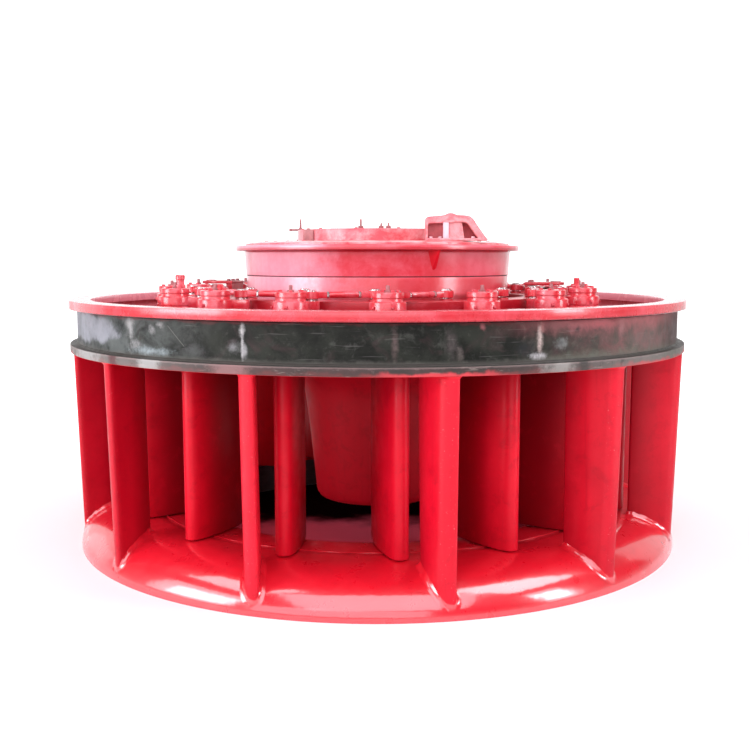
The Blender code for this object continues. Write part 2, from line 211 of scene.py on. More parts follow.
def red_paint(name, base, deep, rough=(0.20, 0.34), coat=0.6, runs=1.0,
              grime=0.25, scale=1.0, spec=0.5, coat_rough=0.10, chalk_and_sheen=None,
              chalk_and_sheen_at=(0.40, 0.70), coat_ior=1.5, wavy=0.0, radial_light_shade=None, side_light_shade=(), arris=False,
              cloud=0.0, nose=None, low=(), under=0.0):
    """Glossy brushed and sprayed enamel on steel plate. fade paints shade
    towards the axis, and on the ring a lighter inner wall as painted light;
    zones are painted light and shade in stretches across the front:
    start, end, strength, colour; cloud is the depth of the uneven coat;
    nose: a paler line along the outer edges, a painted highlight, with
    chips as wear; low: painted shade in bands by height: full at, none at,
    strength, colour, and where that starts and is full along X."""
    g = Graph(name)
    broad = g.noise(2.3 * scale, 5.0, 0.6)
    runs_v = g.mapped((26.0 * scale, 26.0 * scale, 1.6 * scale))
    streak = g.noise(1.0, 4.0, 0.6, runs_v)
    fine = g.noise(38.0 * scale, 3.0, 0.6)
    body = g.mix(g.span(broad, 0.35, 0.68), base, deep)
    body = g.mix(g.math('MULTIPLY', g.span(streak, 0.52, 0.74), 0.30 * runs),
                 body, tuple(c * 0.72 for c in deep))
    if chalk_and_sheen is not None:
        # chalked and dusted places, which also stand as painted sheen: pale patches for reflected light
        chalk = g.noise(5.5 * scale, 7.0, 0.66, distort=0.3)
        body = g.mix(g.math('MULTIPLY', g.span(chalk, chalk_and_sheen_at[0], chalk_and_sheen_at[1]), 0.85), body, chalk_and_sheen)
    dust = g.math('MULTIPLY', g.span(g.noise(7.0 * scale, 6.0, 0.7), 0.52, 0.85), grime)
    body = g.mix(dust, body, tuple(min(1.0, c * 0.55 + 0.035) for c in base))
    x, y, z = g.xyz()
    # painted shade: darker towards the axis; on the ring the same mix paints the inner wall lighter, painted
    # light
    if radial_light_shade is not None:
        start, end, power, tone, lean = radial_light_shade
        where = g.math('SQRT', g.math('ADD', g.math('MULTIPLY', x, x), g.math('MULTIPLY', y, y)))
        where = g.math('ADD', where, g.span(x, -0.2, 0.2, 0.0, lean))
        depth = g.span(where, start, end, 0.0, power)
        if lean > 0.0:
            depth = g.math('MULTIPLY', depth, g.span(g.math('ABSOLUTE', x), 0.10, 0.34))
            depth = g.math('MULTIPLY', depth, g.span(y, 0.10, -0.20))
            # painted shadow under the lip: darker towards the top of the passage
            body = g.mix(g.span(z, 0.70, 0.93, 0.0, 0.40), body, tone)
        body = g.mix(depth, body, tone)
    # painted light and shade at the flange: the inner side below it paler (painted light), a dark line along
    # the outer lower edge (painted shadow), a faint paler band high on the outer side (painted highlight)
    if arris:
        out = g.math('SQRT', g.math('ADD', g.math('MULTIPLY', x, x), g.math('MULTIPLY', y, y)))
        body = g.mix(g.math('MULTIPLY', g.span(z, 1.1330, 1.1315, 0.0, 0.80), g.span(out, 1.455, 1.445)),
                     body, (0.820, 0.240, 0.290))
        painted_line_z = g.math('ADD', z, g.math('MULTIPLY', g.math('SUBTRACT', fine, 0.5), 0.010))
        body = g.mix(g.math('MULTIPLY', g.span(painted_line_z, 1.1370, 1.1330, 0.0, 0.75), g.span(out, 1.475, 1.485)),
                     body, (0.260, 0.0040, 0.0100))
        body = g.mix(g.math('MULTIPLY', g.span(painted_line_z, 1.1540, 1.1600, 0.0, 0.10), g.span(out, 1.490, 1.4985)),
                     body, (0.760, 0.240, 0.280))
    if cloud > 0.0:
        uneven = g.noise(12.0, 7.0, 0.74, distort=0.4)
        body = g.mix(g.math('MULTIPLY', g.span(uneven, 0.50, 0.66), cloud), body,
                     tuple(c * 0.50 for c in deep))
        body = g.mix(g.math('MULTIPLY', g.span(uneven, 0.46, 0.32), cloud * 0.7), body,
                     (min(1.0, base[0] * 1.06), base[1] * 1.8 + 0.002, base[2] * 1.4 + 0.002))
        hair = g.noise(1.0, 5.0, 0.66, g.mapped((52.0, 52.0, 2.4)))
        body = g.mix(g.math('MULTIPLY', g.span(hair, 0.55, 0.72), cloud * 0.8), body,
                     tuple(c * 0.60 for c in deep))
    # painted highlight: a paler line along the outer edges, with chips in it as wear
    if nose is not None:
        rim = g.math('SQRT', g.math('ADD', g.math('MULTIPLY', x, x), g.math('MULTIPLY', y, y)))
        rim = g.math('SUBTRACT', rim, g.math('MULTIPLY', z, nose[2]))
        rim = g.span(rim, nose[0], nose[1])
        chips = g.span(g.noise(95.0, 4.0, 0.7), 0.64, 0.71)
        body = g.mix(g.math('MULTIPLY', rim, 0.07), body, (0.800, 0.070, 0.095))
        body = g.mix(g.math('MULTIPLY', g.math('MULTIPLY', rim, chips), 0.45), body,
                     (0.800, 0.300, 0.300))
    # painted light and shade: lighter or darker stretches across the front
    for start, end, power, color in side_light_shade:
        edge = g.math('ADD', x, g.math('MULTIPLY', g.math('SUBTRACT', broad, 0.5), 0.55))
        edge = g.math('ADD', edge, g.math('MULTIPLY', g.math('SUBTRACT', g.noise(21.0, 5.0, 0.7), 0.5), 0.25))
        body = g.mix(g.math('MULTIPLY', g.span(edge, start, end, 0.0, power),
                            g.span(g.math('ADD', streak, fine), 0.75, 1.2, 1.0, 0.80)), body, color)
    # painted shade: darker bands by height on part of the front
    for full, none, power, color, from_x, to_x in low:
        keep = g.math('MULTIPLY', g.span(z, none, full, 0.0, power), g.span(x, from_x, to_x))
        body = g.mix(g.math('MULTIPLY', keep, g.span(uneven_low(g), 0.30, 0.60, 0.6, 1.0)), body, color)
    if under > 0.0:
        # the shaded side of the flange
        body = g.mix(g.math('MULTIPLY', g.span(z, 1.4125, 1.4065, 0.0, under),
                            g.span(z, 1.385, 1.393)), body, (0.400, 0.0060, 0.0150))
    g.bsdf.inputs["Coat Weight"].default_value = coat
    g.bsdf.inputs["Coat Roughness"].default_value = coat_rough
    g.bsdf.inputs["Coat IOR"].default_value = coat_ior
    g.bsdf.inputs["Specular IOR Level"].default_value = spec
    g.bsdf.inputs["IOR"].default_value = 1.48
    ro = g.span(g.noise(11.0 * scale, 5.0, 0.65), 0.3, 0.72, rough[0], rough[1])
    n = g.bump(fine, 0.06 if wavy == 0.0 else 0.03, 0.0012)
    n = g.bump(streak, 0.10, 0.0012 * runs + 0.0003, n)
    if wavy > 0.0:
        n = g.bump(g.noise(7.5, 3.0, 0.55), wavy, 0.010, n)
    return g.done(body, ro, n)


RED = (0.650, 0.0120, 0.0270)
RED_DEEP = (0.560, 0.0070, 0.0180)
# the ring's lighter inner wall and the lines along its flange are painted light and shade
MAT_RING = red_paint("enamel_ring", (0.520, 0.0120, 0.0235), (0.440, 0.0065, 0.0150),
                     chalk_and_sheen=(0.620, 0.072, 0.100), chalk_and_sheen_at=(0.38, 0.80),
                     radial_light_shade=(1.412, 1.402, 0.90, (0.900, 0.330, 0.390), 0.0), arris=True)
MAT_ROLL = red_paint("enamel_rolled", (0.660, 0.0085, 0.0230), (0.600, 0.0055, 0.0170),
                     rough=(0.26, 0.40), coat=1.0, runs=0.2, grime=0.10, coat_rough=0.12,
                     coat_ior=1.90, wavy=0.16, cloud=0.16)
MAT_VANE = red_paint("enamel_vane", (0.670, 0.0060, 0.0200), (0.560, 0.0036, 0.0145),
                     rough=(0.34, 0.50), coat=0.10, runs=0.6, spec=0.32, grime=0.12,
                     coat_rough=0.22)
# darker towards the axis and on the far left and right vanes: painted shade; the paler nose line is a painted
# highlight
MAT_STAY = red_paint("enamel_stay", (0.640, 0.0048, 0.0215), (0.530, 0.0030, 0.0165),
                     rough=(0.34, 0.50), coat=0.08, runs=0.6, spec=0.18, grime=0.10,
                     coat_rough=0.22, radial_light_shade=(1.400, 1.280, 0.55, (0.200, 0.0012, 0.0055), 0.0),
                     side_light_shade=((-0.70, -1.05, 0.58, (0.330, 0.0024, 0.0120)),
                            (0.80, 1.10, 0.42, (0.360, 0.0028, 0.0130))),
                     cloud=0.34, nose=(1.4320, 1.4390, 0.0295))
# darker towards the axis and under the lip: painted shade
MAT_GATE = red_paint("enamel_gate", (0.660, 0.0048, 0.0215), (0.550, 0.0030, 0.0165),
                     rough=(0.34, 0.50), coat=0.08, runs=0.6, spec=0.18, grime=0.10,
                     coat_rough=0.22, radial_light_shade=(1.220, 1.040, 0.80, (0.190, 0.0010, 0.0050), 0.02),
                     cloud=0.34)
# the head cover takes a darker copy of the red enamel: painted shade in the well under the ring
MAT_COVER_SHADED = red_paint("enamel_cover_shaded", (0.330, 0.0070, 0.0160), (0.220, 0.0034, 0.0095),
                      rough=(0.34, 0.50), coat=0.05, runs=0.8, grime=0.25, spec=0.30)
# the paler stretches at the left and towards the right are painted reflections; the dark stretch at the right
# edge, the low bands and the darker flange underside are painted shade
MAT_DRUM = red_paint("enamel_drum", (0.650, 0.0260, 0.0460), (0.580, 0.0130, 0.0280),
                     rough=(0.28, 0.42), coat=0.7, runs=0.5, coat_rough=0.16,
                     chalk_and_sheen=(0.720, 0.120, 0.165), chalk_and_sheen_at=(0.38, 0.70),
                     side_light_shade=((-0.08, -0.30, 0.50, (0.82, 0.300, 0.390)),
                            (-0.20, -0.46, 0.42, (0.88, 0.500, 0.600)),
                            (0.20, 0.44, 0.36, (0.78, 0.200, 0.255)),
                            (0.60, 0.66, 0.55, (0.430, 0.012, 0.022))),
                     low=((1.258, 1.284, 0.72, (0.500, 0.0080, 0.0180), -0.34, -0.06),
                          (1.188, 1.206, 0.80, (0.240, 0.0026, 0.0080), -0.60, -0.30)),
                     under=0.70)
# the paler stretch at the left is a painted reflection
MAT_TOP = red_paint("enamel_top", (0.680, 0.052, 0.080), (0.600, 0.030, 0.048),
                    rough=(0.30, 0.44), coat=0.5, runs=0.8, coat_rough=0.18, scale=2.0,
                    chalk_and_sheen=(0.760, 0.340, 0.350), chalk_and_sheen_at=(0.36, 0.68),
                    side_light_shade=((-0.16, -0.36, 0.28, (0.84, 0.360, 0.430)),))
MAT_ARCH = red_paint("enamel_bracket", (0.700, 0.120, 0.145), (0.620, 0.070, 0.090),
                     rough=(0.30, 0.44), coat=0.5, runs=0.5, coat_rough=0.18, scale=2.0,
                     chalk_and_sheen=(0.740, 0.350, 0.360), chalk_and_sheen_at=(0.40, 0.64))
MAT_CONE = red_paint("enamel_cone", (0.530, 0.0050, 0.0165), (0.440, 0.0034, 0.0120),
                     rough=(0.40, 0.52), coat=0.0, runs=0.2, spec=0.20, grime=0.10, cloud=0.30)
MAT_LEVER = red_paint("enamel_lever", (0.650, 0.0160, 0.0320), (0.540, 0.0080, 0.0190),
                      rough=(0.26, 0.42), coat=0.8, runs=0.2, scale=2.2, grime=0.15, coat_rough=0.20,
                      chalk_and_sheen=(0.720, 0.150, 0.190), chalk_and_sheen_at=(0.40, 0.76), coat_ior=1.6)


MAT_OPERATING = red_paint("enamel_operating_ring", (0.470, 0.0075, 0.0190), (0.380, 0.0044, 0.0125),
                          rough=(0.30, 0.46), coat=0.25, runs=0.2, scale=2.2, grime=0.20,
                          coat_rough=0.20, chalk_and_sheen=(0.600, 0.075, 0.105), chalk_and_sheen_at=(0.46, 0.80))


def band_material():
    """Bare rolled plate under a thin dark primer: blotches, pale spots,
    smears at the upright joints, overspray along both edges; the paler
    left end is a painted reflection and the dark line under the flange
    a painted shadow."""
    g = Graph("bare_band")
    x, y, z = g.xyz()
    around = g.math('MULTIPLY', g.math('ARCTAN2', x, g.math('MULTIPLY', y, -1.0)), 57.29578)
    broad = g.noise(6.5, 6.0, 0.66, distort=0.5)
    patch = g.noise(15.0, 7.0, 0.70, distort=0.4)
    fine = g.noise(44.0, 5.0, 0.65)
    base = g.mix(g.span(broad, 0.36, 0.64), (0.0040, 0.0055, 0.0035), (0.018, 0.022, 0.016))
    base = g.mix(g.math('MULTIPLY', g.span(patch, 0.52, 0.70), 0.55), base, (0.060, 0.066, 0.056))
    base = g.mix(g.math('MULTIPLY', g.span(g.noise(9.0, 5.0, 0.6, distort=0.8), 0.56, 0.72), 0.50),
                 base, (0.040, 0.024, 0.024))
    base = g.mix(g.math('MULTIPLY', g.span(g.noise(19.0, 6.0, 0.72), 0.57, 0.68), 0.75),
                 base, (0.0065, 0.0070, 0.0065))
    base = g.mix(g.math('MULTIPLY', g.span(fine, 0.58, 0.72), 0.22), base, (0.090, 0.092, 0.078))
    # brown and rose tint towards the right-hand side
    right = g.math('MULTIPLY', g.span(around, 20.0, 50.0), g.span(around, 100.0, 80.0))
    mottle = g.mix(g.span(g.noise(11.0, 7.0, 0.72, distort=0.6), 0.30, 0.68), (0.270, 0.115, 0.115),
                   (0.105, 0.095, 0.078))
    base = g.mix(g.math('MULTIPLY', right, 0.62), base, mottle)
    low_right = g.math('MULTIPLY', g.span(g.math('ADD', z, g.math('MULTIPLY', patch, 0.10)), 1.065, 1.020),
                       g.math('MULTIPLY', g.span(around, 20.0, 30.0), g.span(around, 100.0, 80.0)))
    base = g.mix(g.math('MULTIPLY', low_right, 0.60), base, (0.130, 0.145, 0.110))
    rose = g.math('MULTIPLY', g.span(g.math('ADD', z, g.math('MULTIPLY', patch, 0.10)), 1.10, 1.17),
                  g.math('MULTIPLY', g.span(around, 14.0, 34.0), g.span(around, 100.0, 80.0)))
    base = g.mix(g.math('MULTIPLY', rose, 0.55), base, (0.42, 0.130, 0.140))
    base = g.mix(g.math('MULTIPLY', g.math('MULTIPLY', g.span(around, 50.0, 66.0),
                                           g.span(around, 104.0, 88.0)), 0.80), base,
                 (0.030, 0.016, 0.015))
    # painted reflection: paler grey towards the left end
    left = g.span(around, -20.0, -46.0)
    base = g.mix(g.math('MULTIPLY', g.math('MULTIPLY', left, g.span(broad, 0.35, 0.60)), 0.55),
                 base, (0.125, 0.145, 0.140))
    wob = g.math('ADD', g.math('MULTIPLY', g.math('SUBTRACT', g.noise(17.0, 6.0, 0.72), 0.5), 2.4),
                 g.math('MULTIPLY', g.math('SUBTRACT', g.noise(60.0, 4.0, 0.7), 0.5), 1.2))
    speck = g.span(g.noise(38.0, 5.0, 0.7, distort=0.5), 0.32, 0.60, 0.50, 1.0)

    soft_noise = g.noise(9.0, 4.0, 0.6)

    def blob(t, z0, dt, dz, color, power, soft=0.55, rough=1.0):
        nonlocal base
        u = g.math('DIVIDE', g.math('SUBTRACT', around, t), dt)
        v = g.math('DIVIDE', g.math('SUBTRACT', z, z0), dz)
        d = g.math('SQRT', g.math('ADD', g.math('MULTIPLY', u, u), g.math('MULTIPLY', v, v)))
        if rough < 1.0:
            d = g.math('ADD', d, g.math('MULTIPLY', g.math('SUBTRACT', soft_noise, 0.5), 1.1))
            f = g.span(d, 1.16, 0.84, 0.0, power)
            base = g.mix(f, base, g.mix(g.span(soft_noise, 0.35, 0.65), color,
                                        tuple(c * 0.72 for c in color)))
            return
        f = g.span(g.math('ADD', d, wob), 1.45, soft - 0.55, 0.0, power)
        base = g.mix(g.math('MULTIPLY', f, speck), base, color)

    pale, lilac, teal = (0.27, 0.28, 0.275), (0.225, 0.240, 0.262), (0.24, 0.295, 0.30)
    # a large pale lilac patch at the far left, a painted reflection; smears and rubbed spots
    blob(-66.0, 1.068, 20.0, 0.066, lilac, 0.96, rough=0.2)
    blob(-66.0, 0.986, 9.0, 0.016, (0.030, 0.036, 0.036), 0.90)
    blob(-45.6, 1.085, 1.6, 0.050, (0.012, 0.016, 0.015), 0.95, 0.8)
    blob(-42.6, 1.070, 0.70, 0.075, pale, 0.95, 0.30)
    blob(-42.9, 1.100, 1.10, 0.020, pale, 0.80)
    blob(-41.6, 1.015, 1.50, 0.022, pale, 0.75)
    blob(-38.0, 0.996, 4.6, 0.017, teal, 0.95, 0.40)
    blob(-37.3, 1.082, 0.75, 0.017, pale, 0.85)
    blob(-35.4, 1.103, 0.85, 0.013, pale, 0.90)
    blob(-28.5, 1.010, 2.2, 0.025, (0.075, 0.080, 0.078), 0.60)
    blob(-24.5, 1.050, 2.6, 0.050, (0.012, 0.015, 0.009), 0.75)
    blob(-20.05, 1.050, 0.26, 0.085, (0.38, 0.39, 0.38), 0.90, 0.35)
    blob(-20.2, 1.092, 0.45, 0.022, (0.42, 0.43, 0.42), 0.80)
    blob(-19.7, 1.016, 0.50, 0.030, (0.33, 0.34, 0.34), 0.75)
    blob(-21.6, 1.030, 1.10, 0.022, (0.22, 0.23, 0.23), 0.70)
    blob(-12.0, 1.100, 3.0, 0.012, (0.010, 0.012, 0.009), 0.60)
    blob(2.5, 1.050, 0.45, 0.080, (0.150, 0.105, 0.100), 0.60, 0.20)
    blob(10.6, 1.045, 0.90, 0.060, (0.105, 0.085, 0.085), 0.60, 0.20)
    blob(12.0, 1.010, 0.60, 0.030, (0.140, 0.120, 0.110), 0.65)
    blob(15.3, 1.110, 0.45, 0.012, (0.33, 0.11, 0.12), 0.70)
    blob(22.5, 1.020, 1.8, 0.030, (0.010, 0.012, 0.014), 0.75)
    blob(24.8, 1.060, 0.48, 0.055, (0.50, 0.42, 0.38), 0.95, 0.35)
    blob(24.6, 0.993, 1.50, 0.013, (0.44, 0.45, 0.45), 0.95)
    blob(25.2, 1.100, 0.55, 0.022, (0.34, 0.15, 0.14), 0.70)
    blob(28.6, 1.038, 1.20, 0.022, (0.20, 0.22, 0.21), 0.75)
    blob(28.6, 1.040, 0.55, 0.010, (0.040, 0.045, 0.045), 0.80)
    blob(31.8, 1.088, 0.70, 0.014, (0.030, 0.022, 0.022), 0.80)
    blob(36.5, 1.104, 3.2, 0.018, (0.36, 0.090, 0.100), 0.75)
    blob(42.0, 1.090, 0.80, 0.050, (0.26, 0.130, 0.130), 0.70)
    blob(50.0, 1.030, 6.0, 0.045, (0.105, 0.090, 0.080), 0.65)
    # smears on the side that faces away
    for t in (95.0, 150.0, -118.0):
        blob(t, 1.050, 0.5, 0.080, pale, 0.85, 0.25)
        blob(t + 1.2, 1.010, 1.6, 0.020, teal, 0.70)
    blob(118.0, 1.060, 7.0, 0.050, lilac, 0.55, 0.40)
    blob(-150.0, 1.040, 8.0, 0.050, (0.19, 0.12, 0.11), 0.60, 0.40)
    # one straight scratch
    run = g.math('SUBTRACT', g.math('MULTIPLY', g.math('SUBTRACT', around, -32.1), 0.0235),
                 g.math('MULTIPLY', g.math('SUBTRACT', z, 1.062), -1.0))
    line = g.math('MULTIPLY', g.span(g.math('ABSOLUTE', run), 0.0036, 0.0008),
                  g.span(g.math('ABSOLUTE', g.math('SUBTRACT', around, -32.1)), 1.75, 1.5))
    base = g.mix(g.math('MULTIPLY', line, 0.45), base, (0.16, 0.16, 0.145))
    scratch = g.noise(1.0, 3.0, 0.5, g.mapped((6.0, 6.0, 130.0)))
    base = g.mix(g.math('MULTIPLY', g.span(scratch, 0.64, 0.72), 0.20), base, (0.20, 0.195, 0.185))
    # paler rubbed zone low down, overspray of the enamel at the top edge, and a dark line under the flange that
    # is painted shadow
    low = g.math('ADD', z, g.math('MULTIPLY', g.math('SUBTRACT', patch, 0.5), 0.040))
    base = g.mix(g.math('MULTIPLY', g.span(low, 0.992, 0.972), 0.55), base, (0.120, 0.120, 0.105))
    edge = g.math('ADD', z, g.math('MULTIPLY', g.math('SUBTRACT', g.noise(14.0, 5.0), 0.5), 0.040))
    base = g.mix(g.math('MULTIPLY', g.span(edge, 1.112, 1.126), 0.45), base, (0.13, 0.014, 0.018))
    # painted shadow: a dark line right under the flange
    base = g.mix(g.span(z, 1.1215, 1.1265, 0.0, 0.92), base, (0.012, 0.0015, 0.002))
    g.bsdf.inputs["IOR"].default_value = 1.45
    g.bsdf.inputs["Specular IOR Level"].default_value = 0.20
    rough = g.span(g.noise(12.0, 6.0, 0.7), 0.3, 0.7, 0.42, 0.64)
    n = g.bump(patch, 0.22, 0.0012)
    n = g.bump(g.noise(180.0, 2.0), 0.12, 0.0006, n)
    return g.done(base, rough, n)


def lip_material():
    """The lip's edge: grey primer rubbed through to brown, a pale upper
    arris, dark spots, enamel run over from below in places; paler towards
    both sides of the front arc as painted sheen."""
    g = Graph("rubbed_lip")
    x, y, z = g.xyz()
    around = g.math('MULTIPLY', g.math('ARCTAN2', x, g.math('MULTIPLY', y, -1.0)), 57.29578)
    a = g.noise(6.0, 7.0, 0.7)
    b = g.noise(26.0, 6.0, 0.7)
    base = g.mix(g.span(a, 0.36, 0.64), (0.056, 0.030, 0.027), (0.028, 0.023, 0.019))
    # painted sheen: paler towards both sides of the front arc
    ends = g.span(g.math('ABSOLUTE', around), 22.0, 48.0)
    base = g.mix(g.math('MULTIPLY', ends, 0.60), base, (0.170, 0.165, 0.150))
    base = g.mix(g.math('MULTIPLY', g.span(b, 0.54, 0.70), 0.40), base, (0.160, 0.115, 0.104))
    base = g.mix(g.math('MULTIPLY', g.span(g.noise(17.0, 6.0, 0.72), 0.56, 0.66), 0.75),
                 base, (0.030, 0.028, 0.025))
    wear = g.math('ADD', z, g.math('MULTIPLY', g.math('SUBTRACT', b, 0.5), 0.014))
    base = g.mix(g.math('MULTIPLY', g.span(wear, 0.9585, 0.9630), 0.40), base, (0.230, 0.175, 0.165))
    base = g.mix(g.math('MULTIPLY', g.span(g.noise(1.0, 4.0, 0.6, g.mapped((12.0, 12.0, 60.0))),
                                           0.60, 0.70), 0.35), base, (0.300, 0.260, 0.230))
    # enamel over the lower arris near the middle and at the right end
    mid = g.math('MULTIPLY', g.span(around, -4.0, 5.0), g.span(around, 22.0, 13.0))
    far = g.math('ADD', g.span(around, 38.0, 50.0), g.span(around, -60.0, -75.0), clamp=True)
    where = g.math('ADD', g.math('MAXIMUM', mid, g.math('MULTIPLY', far, 0.7)), 0.10)
    low = g.math('ADD', z, g.math('MULTIPLY', g.math('SUBTRACT', g.noise(16.0, 5.0), 0.5), 0.050))
    base = g.mix(g.math('MULTIPLY', g.span(low, 0.950, 0.934), where, clamp=True), base,
                 (0.52, 0.045, 0.055))
    for t, dt, color, power in ((-46.0, 1.6, (0.070, 0.020, 0.022), 0.85),
                                (-56.0, 7.0, (0.330, 0.345, 0.330), 0.60),
                                (-36.5, 3.0, (0.36, 0.38, 0.36), 0.60),
                                (-22.0, 3.0, (0.250, 0.130, 0.125), 0.65),
                                (27.5, 3.2, (0.33, 0.33, 0.30), 0.55),
                                (32.0, 1.3, (0.022, 0.022, 0.018), 0.85),
                                (58.0, 8.0, (0.060, 0.066, 0.050), 0.70)):
        off = g.math('ADD', g.math('ABSOLUTE', g.math('SUBTRACT', around, t)),
                     g.math('MULTIPLY', g.math('SUBTRACT', b, 0.5), dt * 2.0))
        off = g.math('ADD', off, g.math('MULTIPLY', g.math('SUBTRACT', a, 0.5), dt * 2.0))
        base = g.mix(g.span(off, dt * 1.2, dt * 0.2, 0.0, power), base, color)
    # the upper face lies in the band's grime
    base = g.mix(g.span(z, 0.9658, 0.9672, 0.0, 0.92), base, (0.026, 0.028, 0.022))
    # the underside is enamelled like the water passage
    base = g.mix(g.span(z, 0.9335, 0.9312), base, RED_DEEP)
    rough = g.span(b, 0.3, 0.7, 0.42, 0.64)
    g.bsdf.inputs["Specular IOR Level"].default_value = 0.35
    n = g.bump(b, 0.25, 0.0012)
    n = g.bump(g.noise(140.0, 2.0), 0.15, 0.0006, n)
    return g.done(base, rough, n)


def steel(name, base, rough, grain=(4.0, 4.0, 120.0), metal=0.9, spots=0.3):
    g = Graph(name)
    lines = g.noise(1.0, 4.0, 0.6, g.mapped(grain))
    blot = g.noise(24.0, 6.0, 0.7)
    c = g.mix(g.span(lines, 0.35, 0.65), base, tuple(v * 0.78 for v in base))
    c = g.mix(g.math('MULTIPLY', g.span(blot, 0.55, 0.75), spots), c,
              (base[0] * 0.55, base[1] * 0.42, base[2] * 0.36))
    g.bsdf.inputs["Metallic"].default_value = metal
    ro = g.span(blot, 0.3, 0.7, rough, rough + 0.16)
    n = g.bump(lines, 0.12, 0.0005)
    return g.done(c, ro, n)


MAT_BAND = band_material()
MAT_LIP = lip_material()
MAT_STEEL = steel("turned_steel", (0.56, 0.54, 0.52), 0.24)
MAT_PIN = steel("ground_pin", (0.70, 0.66, 0.65), 0.16, (120.0, 120.0, 4.0), 0.9, 0.15)
MAT_BOLT = steel("painted_bolt", (0.64, 0.050, 0.075), 0.30, (60.0, 60.0, 60.0), 0.0, 0.25)
MAT_STUD = steel("dusty_stud", (0.36, 0.125, 0.130), 0.40, (60.0, 60.0, 20.0), 0.1, 0.35)
MAT_BLOCK = steel("dusty_block", (0.44, 0.19, 0.19), 0.50, (30.0, 30.0, 30.0), 0.0, 0.35)
MAT_PALE = steel("pale_post", (0.90, 0.60, 0.66), 0.30, (40.0, 40.0, 10.0), 0.0, 0.20)
MAT_WINDOW_FILL = steel("window_fill", (0.430, 0.085, 0.095), 0.55, (30.0, 30.0, 30.0), 0.0, 0.45)
MAT_SHADE = steel("red_recess", (0.34, 0.030, 0.040), 0.50, (30.0, 30.0, 30.0), 0.0, 0.25)
MAT_DARK = steel("dark_recess", (0.030, 0.020, 0.022), 0.45, (40.0, 40.0, 40.0), 0.2, 0.2)
MAT_GUIDE = steel("grey_primer", (0.090, 0.088, 0.088), 0.42, (10.0, 10.0, 60.0), 0.3, 0.4)


# ------------------------------------------------------------------ meshes
def new_object(name, verts, faces, mats, index=None, sharp=32.0, recalc=True):
    me = bpy.data.meshes.new(name)
    me.from_pydata([tuple(v) for v in verts], [], faces)
    if not isinstance(mats, (list, tuple)):
        mats = [mats]
    for m in mats:
        me.materials.append(m)
    if index is not None:
        me.polygons.foreach_set("material_index", index)
    if recalc:
        bm = bmesh.new()
        bm.from_mesh(me)
        bmesh.ops.recalc_face_normals(bm, faces=bm.faces)
        bm.to_mesh(me)
        bm.free()
    me.shade_smooth()
    me.set_sharp_from_angle(angle=math.radians(sharp))
    obj = bpy.data.objects.new(name, me)
    bpy.context.collection.objects.link(obj)
    return obj


class Build:
    """Collects vertices, faces and material slots of one joined piece."""

    def __init__(self):
        self.v, self.f, self.m = [], [], []

    def add(self, verts, faces, mat=0, matrix=None):
        base = len(self.v)
        for p in verts:
            q = Vector(p)
            self.v.append(matrix @ q if matrix is not None else q)
        for f in faces:
            self.f.append([i + base for i in f])
            self.m.append(mat)

    def extend(self, other, matrix=None, mat=None):
        base = len(self.v)
        for p in other.v:
            self.v.append(matrix @ p if matrix is not None else p.copy())
        for f, m in zip(other.f, other.m):
            self.f.append([i + base for i in f])
            self.m.append(m if mat is None else mat)

    def object(self, name, mats, sharp=32.0):
        return new_object(name, self.v, self.f, mats, self.m, sharp)


def rounded(profile, radius=0.003, n=3, keep=()):
    """Closed outline with its sharp corners rounded."""
    out = []
    m = len(profile)
    for i, p in enumerate(profile):
        p = Vector(p)
        a = Vector(profile[i - 1]) - p
        b = Vector(profile[(i + 1) % m]) - p
        la, lb = a.length, b.length
        if la < 1e-6 or lb < 1e-6:
            continue
        turn = math.pi - a.angle(b)
        r = radius[i] if isinstance(radius, (list, tuple)) else radius
        if turn < math.radians(18) or i in keep or r <= 0:
            out.append(tuple(p))
            continue
        d = min(r, 0.42 * la, 0.42 * lb)
        p0, p2 = p + a.normalized() * d, p + b.normalized() * d
        for k in range(n + 1):
            t = k / n
            q = p0 * (1 - t) ** 2 + p * 2 * t * (1 - t) + p2 * t * t
            out.append(tuple(q))
    return out


def turned(profile, steps=FINE, mat=0, mats=None, wave=None):
    """Build of a closed (r, z) outline turned about Z."""
    b = Build()
    n = len(profile)
    for i in range(steps):
        a = 2 * math.pi * i / steps
        s, c = math.sin(a), math.cos(a)
        for k, (r, z) in enumerate(profile):
            if wave is not None:
                r, z = wave(a, k, r, z)
            b.v.append(Vector((r * s, -r * c, z)))
    for i in range(steps):
        j = (i + 1) % steps
        for k in range(n):
            l = (k + 1) % n
            b.f.append([i * n + k, j * n + k, j * n + l, i * n + l])
            b.m.append(mat if mats is None else mats[k])
    return b


